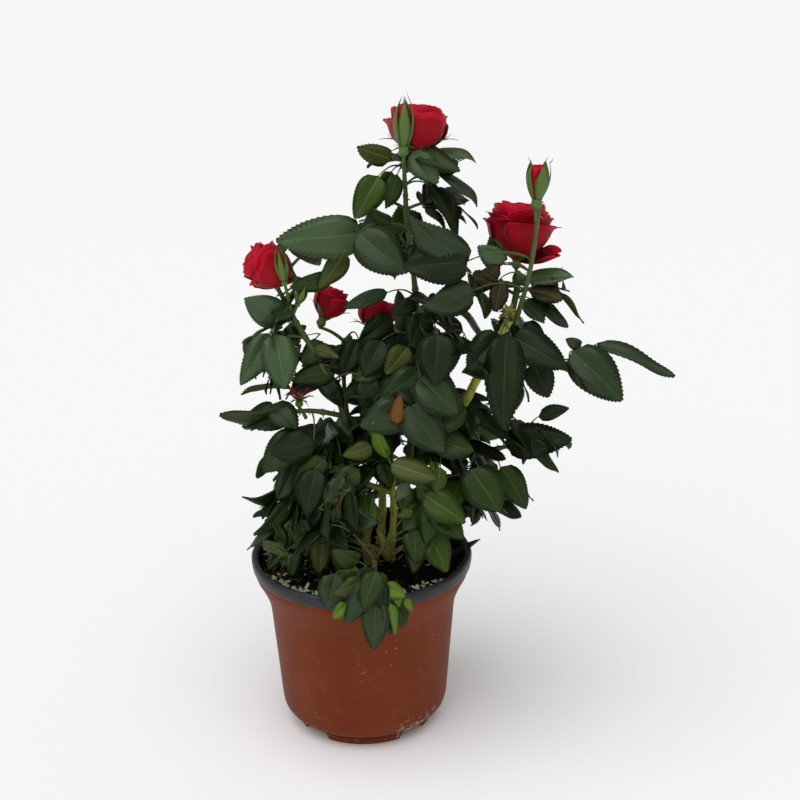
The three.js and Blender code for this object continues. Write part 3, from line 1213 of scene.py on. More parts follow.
    def tuft(self, rng: random.Random) -> None:
        """Set the pale prickles that bristle round the foot of the canes.

        Args:
            rng: The source of chance.
        """
        tuft = Heap("base-prickles", [STRAW_PRICKLE.build()])
        for _ in range(self.tuft_prickles):
            root = np.array([rng.gauss(*pair) for pair in zip(self.tuft_at, self.tuft_spread)]) * MM
            way = unit(np.array((rng.uniform(-1, 1), rng.uniform(-1, 0), rng.uniform(-0.6, 0.9))))
            path = bowed(root, root + way * rng.uniform(5, 9) * MM, RISE * 0.3 * MM, 4)
            tuft.add(*tube(path, np.array((0.8, 0.5, 0.3, 0.08)) * MM, 5))
        tuft.build("green_bark")


# ---------------------------------------------------------------- leaves


# Which of a leaf's materials a face wears.
ABOVE, ON_RIB, BELOW = range(3)


@dataclass(frozen=True)
class Blade:
    """The shape of one leaflet, on a rounded base, with saw teeth and a drawn-out tip."""

    teeth: int = 16
    roundness: float = 0.50
    taper: float = 0.86
    slant: float = 0.13
    tooth_depth: float = 0.009
    thickness: float = 0.006
    vein_relief: float = 0.019
    ruffle: float = 0.028
    waves: float = 7.5
    columns: tuple[float, ...] = (0.0, 0.035, 0.5, 1.0)

    def half_width(self, share: np.ndarray) -> np.ndarray:
        """Find the outline's half width along the blade.

        Args:
            share: How far along the blade, from foot to tip.

        Returns:
            The half width, as a share of its greatest.
        """
        peak = self.roundness / (self.roundness + self.taper)
        top = peak ** self.roundness * (1 - peak) ** self.taper
        share = np.clip(share, 0, 1)
        return share ** self.roundness * (1 - share) ** self.taper / top

    def build(
        self, length: float, width: float, fold: float, droop: float, twist: float, rng: random.Random,
    ) -> tuple[np.ndarray, np.ndarray, np.ndarray]:
        """Make one leaflet, its foot at the origin, pointing along X and facing Z.

        Args:
            length: From foot to tip.
            width: Its greatest width.
            fold: The rise of each half from the midrib, as a slope.
            droop: The turn of the midrib from foot to tip, in radians.
            twist: The turn about the midrib from foot to tip, in radians.
            rng: Its source of chance.

        Returns:
            Points, faces and the material pick of each face: 0 above, 1 the midrib, 2 below.
        """
        rows = 2 * self.teeth + 1
        middle = np.linspace(0, 1, rows)
        edge = middle + self.slant * np.sin(math.pi * middle) * (1 - 0.25 * middle)
        odd = np.arange(rows) % 2 == 1
        step = 1 / (rows - 1)
        wide = self.half_width(edge) * width / 2
        tooth = np.where(odd, self.tooth_depth * length * np.sqrt(np.clip(wide / (width / 2), 0, 1)), 0.0)
        reach = np.where(odd, 0.9 * step, 0.0) * length
        wave = rng.uniform(0, 2 * math.pi)
        surface = []
        for sign in (1.0, -1.0):
            for share in self.columns[1:] if sign < 0 else self.columns:
                x = (middle + (edge - middle) * share) * length
                y = wide * share
                if share == 1.0:
                    x = np.clip(x + reach, 0, length)
                    y = y + tooth
                pleat = np.where(odd, -1.0, 1.0) * self.vein_relief * length * math.sin(math.pi * share)
                ruffle = self.ruffle * length * share * np.sin(self.waves * middle + wave + 0.8 * sign)
                z = fold * y - 0.9 * y * y / max(width, 1e-6) * fold + pleat * 0.5 + ruffle
                surface.append(np.stack([x, sign * y, z], axis=1))
        half = len(self.columns)
        left = [surface[index] for index in range(half - 1, 0, -1)]
        right = [surface[index] for index in range(half, 2 * half - 1)]
        strip = np.stack([*right[::-1], surface[0], *left[::-1]], axis=1)
        columns = strip.shape[1]
        upper = strip.reshape(-1, 3)
        inner = np.ones((rows, columns), dtype=bool)
        inner[:, 0] = inner[:, -1] = False
        inner[0, :] = inner[-1, :] = False
        lower = upper[inner.ravel()] - np.array((0.0, 0.0, self.thickness * length))
        numbers = np.arange(rows * columns)
        below = numbers.copy()
        below[inner.ravel()] = rows * columns + np.arange(int(inner.sum()))
        faces = in_triangles(grid_faces(rows, columns))
        column = np.repeat(np.arange((rows - 1) * (columns - 1)), 2) % (columns - 1)
        middle_column = (columns - 1) // 2
        on_rib = (column == middle_column) | (column == middle_column - 1)
        picks = np.concatenate([np.where(on_rib, ON_RIB, ABOVE), np.full(len(faces), BELOW)])
        points = np.concatenate([upper, lower])
        turn = droop * points[:, 0] / length
        x, z = points[:, 0].copy(), points[:, 2].copy()
        bend = max(abs(droop), 1e-4) * (1 if droop >= 0 else -1)
        radius = length / bend
        points[:, 0] = radius * np.sin(turn) + z * np.sin(turn)
        points[:, 2] = -radius * (1 - np.cos(turn)) + z * np.cos(turn)
        roll = twist * x / length
        y, z = points[:, 1].copy(), points[:, 2].copy()
        points[:, 1] = y * np.cos(roll) - z * np.sin(roll)
        points[:, 2] = y * np.sin(roll) + z * np.cos(roll)
        return points, np.concatenate([faces, below[faces][:, (1, 0, 2, 2)]]), picks


BROAD_FROM = 34 * MM
BROAD_BLADE = Blade()
SMALL_BLADE = Blade(teeth=10)
SPROUT_BLADE = Blade(teeth=2, roundness=0.8, taper=0.6, tooth_depth=0.0, vein_relief=0.0)
YOUNG_BLADE = Blade(teeth=9, roundness=0.75, taper=0.75, vein_relief=0.016)


@dataclass
class Foliage:
    """All the leaves and twigs, gathered into heaps by tint."""

    heaps: dict[Tint, Heap] = field(default_factory=dict)
    stalks: Heap | None = None
    twigs: Heap | None = None
    blades: int = 0

    def __post_init__(self) -> None:
        """Open one heap for each tint, and one each for leaf stalks and twigs."""
        for tint in Tint:
            self.heaps[tint] = Heap(f"leaflets-{tint.value}", leaf_finishes(tint))
        self.stalks = Heap("leaf-stalks", [LEAF_STALK.build()])
        self.twigs = Heap("twigs", [TWIG.build()])

    def leaflet(
        self, foot: np.ndarray, direction: np.ndarray, face: np.ndarray, length: float, tint: Tint,
        rng: random.Random, breadth: float, droop: float | None = None,
    ) -> None:
        """Add one leaflet.

        Args:
            foot: Where it starts.
            direction: Where it points.
            face: Where its upper face looks.
            length: From foot to tip.
            tint: Its colour.
            rng: Its source of chance.
            breadth: Its width as a share of its length.
            droop: The turn of its midrib, or None for chance.
        """
        kind = YOUNG_BLADE if tint is Tint.BRONZE else BROAD_BLADE if length > BROAD_FROM else SMALL_BLADE
        droop = rng.uniform(0.15, 0.75) if droop is None else droop
        fold = rng.uniform(0.12, 0.38)
        points, faces, picks = kind.build(
            length, length * breadth * rng.uniform(0.93, 1.07), fold, droop, rng.uniform(-0.35, 0.35), rng,
        )
        self.heaps[tint].add(foot + points @ axes_along(direction, face), faces, picks)
        self.blades += 1

    def stalk(self, path: np.ndarray, thick: float, thin: float, woody: bool = False) -> None:
        """Add a leaf stalk or a twig.

        Args:
            path: Its centre line.
            thick: Its radius at the foot.
            thin: Its radius at the tip.
            woody: Whether it is a twig.
        """
        radii = np.linspace(thick, thin, len(path))
        (self.twigs if woody else self.stalks).add(*tube(path, radii, 6 if woody else 5))

    def build(self, nodes: tuple[str, ...]) -> None:
        """Join every heap.

        Args:
            nodes: The nodes of the masses that the leaves stand for.
        """
        for tint, heap in self.heaps.items():
            heap.build(TINT_SLOTS[tint], nodes if tint is Tint.DEEP else ())
        self.stalks.build("green_bark")
        self.twigs.build("green_bark")
        LOG.info("%d leaflets", self.blades)


# ---------------------------------------------------------------- flowers and buds


def sheet(grid: np.ndarray, thickness: float) -> Pair:
    """Close a grid of points into a thin sheet with two faces and a shared edge.

    Args:
        grid: Rows by columns of points.
        thickness: How far the lower face lies under the upper.

    Returns:
        Points and faces, the upper faces first.
    """
    rows, columns = grid.shape[:2]
    normals = np.cross(np.gradient(grid, axis=1), np.gradient(grid, axis=0))
    normals /= np.maximum(np.linalg.norm(normals, axis=2, keepdims=True), 1e-9)
    inner = np.zeros((rows, columns), dtype=bool)
    inner[1:-1, 1:-1] = True
    below = np.arange(rows * columns)
    below[inner.ravel()] = rows * columns + np.arange(int(inner.sum()))
    lower = (grid - normals * thickness)[inner]
    faces = in_triangles(grid_faces(rows, columns))
    points = np.concatenate([grid.reshape(-1, 3), lower])
    return points, np.concatenate([faces, below[faces][:, (1, 0, 2, 2)]])


def ribbon(
    path: np.ndarray, half_widths: np.ndarray, face: np.ndarray, thickness: float,
) -> Pair:
    """A narrow closed blade along a path, such as a sepal.

    Args:
        path: The points of its centre line.
        half_widths: Its half width at each point.
        face: Where its broad side looks.
        thickness: Its thickness in the middle.

    Returns:
        Points and faces.
    """
    tangents = np.gradient(path, axis=0)
    rings = []
    for index, middle in enumerate(path):
        _, side, out = axes_along(tangents[index], face)
        wide = half_widths[index]
        deep = min(thickness, wide) * 0.5
        lift = out * wide * 0.35
        rings.append([middle + side * wide + lift, middle + out * deep,
                      middle - side * wide + lift, middle - out * deep])
    count = len(path)
    points = np.array(rings).reshape(-1, 3)
    faces = grid_faces(count, 4, wrap=True).tolist()
    faces += [[0, 3, 2, 1], [count * 4 - 4, count * 4 - 3, count * 4 - 2, count * 4 - 1]]
    return points, np.array(faces)


@dataclass(frozen=True)
class Bloom:
    """Where one flower stands, how large and how open it is."""

    node: str
    foot: Triple
    axis: Triple
    radius: float
    height: float
    petals: int
    opening: float
    sepal_turn: float
    stem_from: Triple
    long_sepals: tuple[float, ...] = ()
    loose_petals: tuple[int, ...] = ()


@dataclass(frozen=True)
class Bud:
    """Where one bud stands and how far it shows colour."""

    node: str | None
    foot: Triple
    axis: Triple
    radius: float
    height: float
    red: float
    spread: float
    stem_from: Triple


# Which of a flower's materials a face wears, and how many rows of faces take the painted highlight at the
# edge and the painted shade in the heart.
IN_PAINTED_SHADE, IN_BODY, IN_PAINTED_HIGHLIGHT, ON_BACK = range(4)
EDGE_HIGHLIGHT_ROWS = 3
HEART_SHADE_ROWS = 7
LOOSE_PETALS_LOOK = (0.86, -0.25, 0.42)
BLOOMS = (
    Bloom(
        "flower-head-top", (54, -6, 523), (0.06, 0.30, 1.0), 28, 41, 26, 0.30, 0.25, (45, 0, 508),
        long_sepals=(0.1, 3.0),
    ),
    Bloom(
        "flower-head-right", (138, 2, 429), (0.10, 0.20, 1.0), 31, 50, 32, 0.55, 0.25, (139, 0, 415),
        loose_petals=(13, 8),
    ),
    Bloom("flower-head-left", (-50, -20, 423), (-0.85, 0.10, 0.42), 22, 44, 24, 0.30, 0.5, (-58, -16, 402)),
    Bloom("flower-heads-middle", (-29, 14, 378), (0.35, 0.25, 0.75), 18, 30, 20, 0.35, 0.4, (-8, 16, 354)),
    Bloom("flower-heads-middle", (14, 22, 364), (0.20, 0.25, 0.8), 20, 29, 20, 0.35, 0.4, (-6, 17, 352)),
)
BUDS = (
    Bud(None, (42, -24, 532), (0.02, 0.05, 1.0), 7.2, 43, 0.05, 0.05, (43, -2, 496)),
    Bud("flower-bud-right", (150, -30, 488), (0.06, 0.0, 1.0), 7.6, 34, 0.62, 0.42, (150, -29, 470)),
    Bud(None, (-58, -36, 426), (-0.14, -0.1, 1.0), 4.4, 30, 0.04, 0.05, (-54, -20, 396)),
    Bud(None, (-48, -24, 404), (0.35, -0.3, 0.9), 4.2, 20, 0.0, 0.05, (-54, -18, 390)),
)


@dataclass
class Flowers:
    """Every flower head, bud and spent flower, with hips, sepals and stalks."""

    sepals: Heap | None = None
    stalks: Heap | None = None
    spent_at: Triple = (-50, -24, 318)
    spent_looks: Triple = (0.1, -0.2, 1.0)
    spent_stem_from: Triple = (-45, -20, 300)
    spent_petals: tuple[tuple[float, float, int], ...] = (
        (0.3, 17, 0), (0.9, 14, 0), (2.9, 13, 1), (3.6, 10, 1),
    )

    def __post_init__(self) -> None:
        """Open the heaps for the green parts."""
        self.sepals = Heap("sepals", [CALYX.build()])
        self.stalks = Heap("flower-stalks-and-hips", [CALYX.build()])

    def petal(self, heap: Heap, bloom: Bloom, axes: np.ndarray, index: int, rng: random.Random) -> None:
        """Add one petal of a flower.

        Args:
            heap: Where it goes.
            bloom: The flower.
            axes: The flower's axes, its own up last.
            index: The petal's number, counted from the heart.
            rng: The source of chance.
        """
        share = (index + 0.5) / bloom.petals
        turn = index * GOLDEN_ANGLE + rng.uniform(-0.15, 0.15)
        reach = bloom.radius * (0.16 + 0.76 * share ** 0.75) * MM
        tall = bloom.height * (0.90 + 0.10 * math.sin(math.pi * share)) * rng.uniform(0.95, 1.03) * MM
        tall *= 1 - 0.16 * smoothstep(0.65, 1.0, share)
        reflex = bloom.opening * smoothstep(0.35, 1.0, share) * rng.uniform(0.6, 1.25)
        half = rng.uniform(0.85, 1.05) * (1.30 - 0.45 * share)
        rows, columns = 12, 13
        v = np.linspace(-1, 1, columns)[None, :]
        s = np.linspace(0, 1, rows)[:, None] * (1 - 0.20 * np.abs(v) ** 3.0)
        outline = 0.42 + 0.58 * np.clip(s / 0.55, 0, 1) ** 0.8
        across = v * half * outline * (1 - 0.10 * np.clip((s - 0.75) / 0.25, 0, 1) ** 2)
        out = reach * (1 - (1 - s) ** 3.2) * (1 - 0.10 * (1 - reflex) * np.clip(s - 0.6, 0, 1) / 0.4)
        out = out + reach * reflex * 0.62 * (np.clip(s - 0.60, 0, 1) / 0.40) ** 2
        lap = 0.14 * reach * (share - 0.25) * v ** 2 * s
        wave = rng.uniform(0, 6)
        ripple = np.sin(3.1 * v + wave) + 0.5 * np.sin(6.7 * v + wave * 2)
        ruffle = 0.045 * bloom.radius * MM * s ** 4 * ripple
        radius = out + lap + ruffle
        height = tall * s - tall * reflex * 0.30 * (np.clip(s - 0.70, 0, 1) / 0.30) ** 2 + ruffle * 0.5
        x, y = radius * np.cos(turn + across), radius * np.sin(turn + across)
        z = np.broadcast_to(height, x.shape)
        points, faces = sheet(np.stack([x, y, z], axis=2), 0.45 * MM)
        row = np.tile(np.repeat(np.arange(rows - 1), 2 * (columns - 1)), 2)
        outer = np.repeat((0, 1), 2 * (rows - 1) * (columns - 1))
        # Painted highlight on the top rows; painted shade on the low rows of the inner petals.
        picks = np.where(row >= rows - EDGE_HIGHLIGHT_ROWS, IN_PAINTED_HIGHLIGHT, IN_BODY)
        picks = np.where((row < HEART_SHADE_ROWS) & (share < 0.6), IN_PAINTED_SHADE, picks)
        picks = np.where((outer == 1) & (picks == IN_BODY), ON_BACK, picks)
        foot = np.array(bloom.foot) * MM
        heap.add(foot + points @ axes, faces, picks)

    def sepal(
        self, foot: np.ndarray, axes: np.ndarray, turn: float, length: float, spread: float, lean: float,
    ) -> None:
        """Add one sepal with its drawn-out tip and side whiskers.

        Args:
            foot: The calyx's centre.
            axes: The flower's axes, its own up last.
            turn: Which way it stands.
            length: Its length.
            spread: The radius it keeps from the axis.
            lean: How it leaves the axis: 0 hugs it, 1 lies level, more turns back.
        """
        out = outward(axes, turn)
        shares = np.linspace(0, 1, 9)
        path = []
        for share in shares:
            bulge = spread * (1 - (1 - share) ** 3) * (1 - lean * 0.5) + 1 * MM
            away = bulge + lean * length * share ** 1.3 * 0.95
            up = length * share * (1 - 0.9 * lean * share ** 0.6)
            up -= max(lean - 0.6, 0) * length * share ** 2 * 0.8
            path.append(foot + out * away + axes[2] * up)
        widths = length * 0.115 * np.array((0.75, 0.95, 1.0, 0.92, 0.74, 0.5, 0.26, 0.12, 0.05))
        self.sepals.add(*ribbon(np.array(path), widths, out, 0.7 * MM))
        for share, sign in ((4, 1.0), (5, -1.0)):
            root = path[share]
            side = np.cross(axes[2], out) * sign
            end = root + (side * 0.5 + axes[2] * 0.5 + out * (0.2 + lean)) * length * 0.2
            whisker = bowed(root, end, out * length * 0.03, 5)
            self.sepals.add(*tube(whisker, np.linspace(0.35, 0.12, 5) * MM, 4))

    def hip(
        self, foot: np.ndarray, axis: np.ndarray, radius: float, stem_from: Triple,
    ) -> None:
        """Add a hip and the stalk under it.

        Args:
            foot: Where the hip meets the petals.
            axis: Which way the flower looks.
            radius: The hip's radius.
            stem_from: Where the stalk leaves the bough, in millimetres.
        """
        along = unit(np.array(axis, dtype=float))
        shares = np.linspace(0, 1, 9)
        swell = radius * np.array((0.28, 0.42, 0.74, 0.96, 1.0, 0.94, 0.84, 0.86, 0.9))
        path = np.array([foot - along * radius * 2.1 * (1 - share) for share in shares])
        self.stalks.add(*tube(path, swell, 12))
        start = np.array(stem_from, dtype=float) * MM
        end = path[0] + along * 0.4 * MM
        stem = bowed(start, end, along * np.linalg.norm(end - start) * 0.08, 8)
        self.stalks.add(*tube(stem, np.linspace(1.7, 1.35, 8) * MM, 8))

    def flower(self, number: int, bloom: Bloom) -> Heap:
        """Make one flower head and return its petals.

        Args:
            number: Its number, for chance.
            bloom: Its place and shape.

        Returns:
            The heap of its petals.
        """
        rng = random.Random(SEED * 7 + number)
        skins = [PETAL_PAINTED_SHADE.build(), PETAL_BODY.build(), PETAL_PAINTED_HIGHLIGHT.build(), PETAL_BACK.build()]
        heap = Heap(f"petals-{number + 1}", skins)
        axes = axes_about(bloom.axis)
        up = axes[2]
        for index in range(bloom.petals):
            self.petal(heap, bloom, axes, index, rng)
        foot = np.array(bloom.foot) * MM
        self.hip(foot + up * 1.5 * MM, up, 4.3 * MM, bloom.stem_from)
        for index in range(5):
            turn = index * 2 * math.pi / 5 + 0.4 + rng.uniform(-0.2, 0.2)
            hugging = index % 3 == 1
            lean = 0.10 if hugging else 1.0 - bloom.sepal_turn + rng.uniform(-0.1, 0.2)
            spread = (0.62 * bloom.radius if hugging else 5.0) * MM
            self.sepal(foot, axes, turn, rng.uniform(24, 32) * MM, spread, lean)
        for turn in bloom.long_sepals:
            self.sepal(foot, axes, turn, 44 * MM, 5 * MM, 0.70)
        loose = replace(bloom, radius=19, height=38, opening=0.3)
        for index in bloom.loose_petals:
            self.petal(heap, loose, axes_about(LOOSE_PETALS_LOOK), index, rng)
        return heap

    def bud(self, number: int, bud: Bud) -> None:
        """Make one bud.

        Args:
            number: Its number, for chance.
            bud: Its place and shape.
        """
        rng = random.Random(SEED * 11 + number)
        heap = Heap(f"bud-{number + 1}", [PETAL_PAINTED_SHADE.build(), PETAL_BODY.build(), PETAL_PAINTED_HIGHLIGHT.build()])
        axes = axes_about(bud.axis)
        up = axes[2]
        foot = np.array(bud.foot) * MM
        rows, columns = 13, 9
        for index in range(5):
            s = np.linspace(0, 1, rows)[:, None]
            v = np.linspace(-1, 1, columns)[None, :]
            blunt = 0.42 * bud.red
            swell = np.sin(np.pi * np.clip(0.10 + s * (0.88 - 0.36 * bud.red), 0, 1)) ** 0.85
            radius = bud.radius * MM * (0.82 + 0.05 * index) * swell + 0.03 * bud.radius * MM * (v + 1)
            turn = index * GOLDEN_ANGLE + 0.35 * s
            angle = turn + v * (1.15 + blunt * 0.2)
            z = bud.height * MM * (0.80 + 0.06 * bud.red) * s * (1 - 0.05 * v ** 2)
            grid = np.stack([radius * np.cos(angle), radius * np.sin(angle), z], axis=2)
            points, faces = sheet(grid, 0.35 * MM)
            row = np.tile(np.repeat(np.arange(rows - 1), 2 * (columns - 1)), 2)
            # The tips of the bud's petals wear the crimson of the painted highlight.
            picks = np.where(row >= rows - EDGE_HIGHLIGHT_ROWS, IN_PAINTED_HIGHLIGHT, IN_BODY)
            heap.add(foot + points @ axes, faces, picks)
        self.hip(foot + up * 1.0 * MM, up, bud.radius * 0.62 * MM, bud.stem_from)
        for index in range(5):
            turn = index * 2 * math.pi / 5 + rng.uniform(-0.12, 0.12)
            lean = bud.spread * rng.uniform(0.5, 1.3)
            wide = bud.radius * 1.12 * MM
            self.calyx_leaf(foot, axes, turn, bud.height * rng.uniform(0.92, 1.06) * MM, wide, lean)
        heap.build("red_petal", (bud.node,) if bud.node else ())

    def calyx_leaf(
        self, foot: np.ndarray, axes: np.ndarray, turn: float, length: float, spread: float, lean: float,
    ) -> None:
        """Add one broad sepal that wraps a bud, with whiskers near its tip.

        Args:
            foot: The calyx's centre.
            axes: The bud's axes, its own up last.
            turn: Which way it stands.
            length: Its length.
            spread: The bud's radius.
            lean: How far its tip leaves the bud.
        """
        rows, columns = 14, 5
        s = np.linspace(0, 1, rows)[:, None]
        v = np.linspace(-1, 1, columns)[None, :]
        half = 0.78 * (np.sin(np.pi * np.clip(0.20 + 0.78 * s, 0, 1)) ** 0.8) * (1 - 0.55 * s)
        swell = np.sin(np.pi * np.clip(0.10 + s * (0.84 if lean > 0.1 else 0.888), 0, 1)) ** 0.85
        radius = spread * swell + lean * length * s ** 2.4 * 0.55 + 0.0004
        angle = turn + v * half
        z = np.broadcast_to(length * s * (1 - 0.25 * lean * s ** 2), angle.shape)
        grid = np.stack([radius * np.cos(angle), radius * np.sin(angle), z], axis=2)
        points, faces = sheet(grid, 0.4 * MM)
        placed = foot + points @ axes
        self.sepals.add(placed, faces)
        if lean < 0.2:
            return
        tip = placed[(rows - 1) * columns + columns // 2]
        out = outward(axes, turn)
        end = tip + (axes[2] * (0.9 - lean) + out * lean * 1.6) * length * 0.16
        whisker = bowed(tip - axes[2] * 1 * MM, end, out * length * 0.02, 5)
        self.sepals.add(*tube(whisker, np.linspace(0.5, 0.12, 5) * MM, 4))

    def spent(self) -> None:
        """Make the spent flower: a hip, dried stamens and a few faded petals curled back."""
        rng = random.Random(SEED * 13)
        foot = np.array(self.spent_at) * MM
        heap = Heap("spent-petals", [FADED_PETAL.build(), PETAL_PAINTED_HIGHLIGHT.build()])
        anthers = Heap("dried-stamens", [STAMEN.build()])
        axes = axes_about(self.spent_looks)
        up = axes[2]
        # Petals marked bright wear the crimson of the painted highlight.
        for turn, long, bright in self.spent_petals:
            out = outward(axes, turn)
            path = bowed(foot, foot + (out * 0.8 + up * 0.6) * long * MM, up * 2 * MM, 7)
            widths = np.array((1.0, 1.8, 2.4, 2.6, 2.4, 1.8, 0.7)) * MM
            heap.add(*ribbon(path, widths, up, 0.8 * MM), bright)
        for _ in range(22):
            way = up + jitter(0.7, rng)
            end = foot + unit(way) * rng.uniform(4, 7) * MM
            anthers.add(*tube(bowed(foot, end, up * 0.4 * MM, 4), np.array((0.25, 0.2, 0.2, 0.5)) * MM, 4))
        self.hip(foot, up, 3.6 * MM, self.spent_stem_from)
        for index in range(5):
            self.sepal(foot, axes, index * 1.257 + 0.5, 15 * MM, 3.4 * MM, 0.85)
        heap.build("red_petal")
        anthers.build("brown_bark")

    def build(self) -> None:
        """Make every flower and bud, then join the green parts."""
        for number, bloom in enumerate(BLOOMS):
            node = () if number and BLOOMS[number - 1].node == bloom.node else (bloom.node,)
            self.flower(number, bloom).build("red_petal", node)
        for number, bud in enumerate(BUDS):
            self.bud(number, bud)
        self.spent()
        self.sepals.build("green_sepal")
        self.stalks.build("green_sepal")


# ---------------------------------------------------------------- growth


@dataclass(frozen=True)
class Spray:
    """How one mass is grown: its leaves, their size and tints, and how far they keep to the rear."""

    leaves: int
    length: float
    tints: tuple[Tint, ...]
    rear: float = 0.0


@dataclass(frozen=True)
class Leaflet:
    """One leaflet that stands out at the front, placed by its mass.

    Its spot is right, forward and up from the mass's middle, as shares of the half extents, and its
    heading is 0 to the right and 90 up as seen from the front. Lengths are in millimetres.
    """

    spot: Triple
    heading: float
    length: float
    width: float
    roll: float
    tint: Tint
    droop: float = 0.35


@dataclass
class Growth:
    """The branching rule: twigs fork into each mass from the nearest bough, and bear the leaves."""

    limbs: list[Limb]
    foliage: Foliage
    axis: tuple[float, float] = (35 * MM, 10 * MM)
    margin: float = 1.12
    least: float = 24 * MM
    eye: Triple = (0.0, -0.94, 0.33)
    pair_behind: float = 0.20
    pair_size: float = 0.88
    twig_steps: int = 14
    first_joint: int = 4

    def mass(self, node: str) -> Pair:
        """Read the middle and the half extents of a mass off the frame.

        Args:
            node: The mass's node.

        Returns:
            Its middle and its half extents.
        """
        corners = np.array([corner[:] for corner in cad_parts[node].bound_box])
        low, high = corners.min(axis=0), corners.max(axis=0)
        return (low + high) / 2, (high - low) / 2

    def nearest(self, place: np.ndarray) -> np.ndarray:
        """Find the point on any limb, past its foot, that lies nearest a place and not above it.

        Args:
            place: The place.

        Returns:
            The point.
        """
        best, found = 1e9, self.limbs[0].at(0.5)
        for limb in self.limbs:
            for share in np.linspace(0.2, 1.0, 17):
                point = limb.at(float(share))
                distance = float(np.linalg.norm(point - place)) + 0.6 * max(float(point[2] - place[2]), 0.0)
                if distance < best:
                    best, found = distance, point
        return found

    def fork(self, middle: np.ndarray, half: np.ndarray, sides: int, rng: random.Random) -> np.ndarray:
        """Grow a twig into a mass, forking as it goes.

        Args:
            middle: The mass's middle.
            half: Its half extents.
            sides: How many side twigs it has.
            rng: The source of chance.

        Returns:
            The points where leaves may join.
        """
        start = self.nearest(middle)
        away = unit(middle - start + RISE * MM)
        end = middle + away * half * 0.4
        main = bowed(start, end, RISE * 0.10 * np.linalg.norm(end - start), self.twig_steps)
        self.foliage.stalk(main, 1.6 * MM, 0.8 * MM, woody=True)
        joints = [main[self.first_joint:]]
        for index in range(sides):
            root = main[self.first_joint + (index * 3) % 9]
            aim = unit(jitter(1, rng) + away * 0.4)
            tip = middle + aim * half * 0.55
            side = bowed(root, tip, RISE * 0.12 * np.linalg.norm(tip - root), 9)
            self.foliage.stalk(side, 1.1 * MM, 0.6 * MM, woody=True)
            joints.append(side[2:])
        return np.concatenate(joints)

    def grow(self, node: str, spray: Spray, rng: random.Random) -> None:
        """Grow one mass: forking twigs, and leaves spread evenly round its middle.

        Args:
            node: The mass's node.
            spray: What to grow.
            rng: The source of chance.
        """
        middle, half = self.mass(node)
        joints = self.fork(middle, half, spray.leaves // 2, rng)
        turn = rng.uniform(0, 2 * math.pi)
        for index in range(spray.leaves):
            rise = 1 - 2 * (index + 0.5) / spray.leaves
            around = math.sqrt(max(1 - rise * rise, 0.0))
            turn += GOLDEN_ANGLE
            way = np.array((around * math.cos(turn), around * math.sin(turn), rise))
            spot = middle + way * half * rng.uniform(0.35, 0.75)
            spot[1] += spray.rear * half[1] * 0.5
            self.leaf(spray, joints, spot, (middle, half), spray.tints[index % len(spray.tints)], rng)

    def reach(self, place: np.ndarray, way: np.ndarray, mass: Pair) -> float:
        """Find how far a ray runs before it leaves a mass, taken as an ellipsoid with a margin.

        Args:
            place: Where the ray starts.
            way: Where it points.
            mass: The mass's middle and half extents.

        Returns:
            The distance, or 0 from outside.
        """
        middle, half = mass
        offset, heading = (place - middle) / (half * self.margin), way / (half * self.margin)
        a, b, c = heading @ heading, offset @ heading, offset @ offset - 1
        root = b * b - a * c
        return float((-b + math.sqrt(root)) / a) if root > 0 else 0.0

    def leaf(
        self, spray: Spray, joints: np.ndarray, spot: np.ndarray, mass: Pair,
        tint: Tint, rng: random.Random,
    ) -> None:
        """Grow one arching leaf: its stalk, a leaflet at its tip and a pair behind it.

        Args:
            spray: The mass's settings.
            joints: Where leaves may leave the twigs.
            spot: Where the leaf's middle lies.
            mass: The mass's middle and half extents.
            tint: The leaf's tint.
            rng: The source of chance.
        """
        away = unit(np.array((spot[0] - self.axis[0], spot[1] - self.axis[1], 0.0)))
        swing = math.radians(rng.gauss(0, 42))
        level = math.cos(swing) * away + math.sin(swing) * np.cross(RISE, away)
        way = unit(level + RISE * rng.uniform(-0.75, 0.2))
        face = away * rng.uniform(0.5, 1.1) + RISE * rng.uniform(0.4, 0.9)
        face = face + jitter(0.35, rng)
        side = axes_along(way, face)[1]
        size = spray.length * MM * rng.uniform(0.86, 1.1)
        hub = spot - way * 0.40 * size
        back = hub - way * self.pair_behind * size
        joint = joints[int(np.argmin(np.linalg.norm(joints - back, axis=1)))]
        sag = RISE * 0.12 * np.linalg.norm(back - joint)
        self.foliage.stalk(bowed(joint, back, sag, 8), 0.85 * MM, 0.6 * MM)
        self.foliage.stalk(bowed(back, hub, face * 0.6 * MM, 4), 0.6 * MM, 0.45 * MM)
        plans = [(hub, way, size)]
        for sign in (1.0, -1.0):
            spread = math.radians(rng.uniform(56, 76))
            aside = math.cos(spread) * way + sign * math.sin(spread) * side
            aside = unit(aside + RISE * rng.uniform(-0.28, 0.08))
            plans.append((back, aside, size * self.pair_size * rng.uniform(0.9, 1.06)))
        for place, heading, wanted in plans:
            long = min(wanted, self.reach(place, heading, mass) * 1.25)
            if long < self.least:
                continue
            foot = place + heading * 2.4 * MM
            self.foliage.stalk(np.array([place, (place + foot) / 2, foot]), 0.5 * MM, 0.4 * MM)
            look = face + jitter(0.3, rng)
            self.foliage.leaflet(foot, heading, look, long, tint, rng, rng.uniform(0.56, 0.68))

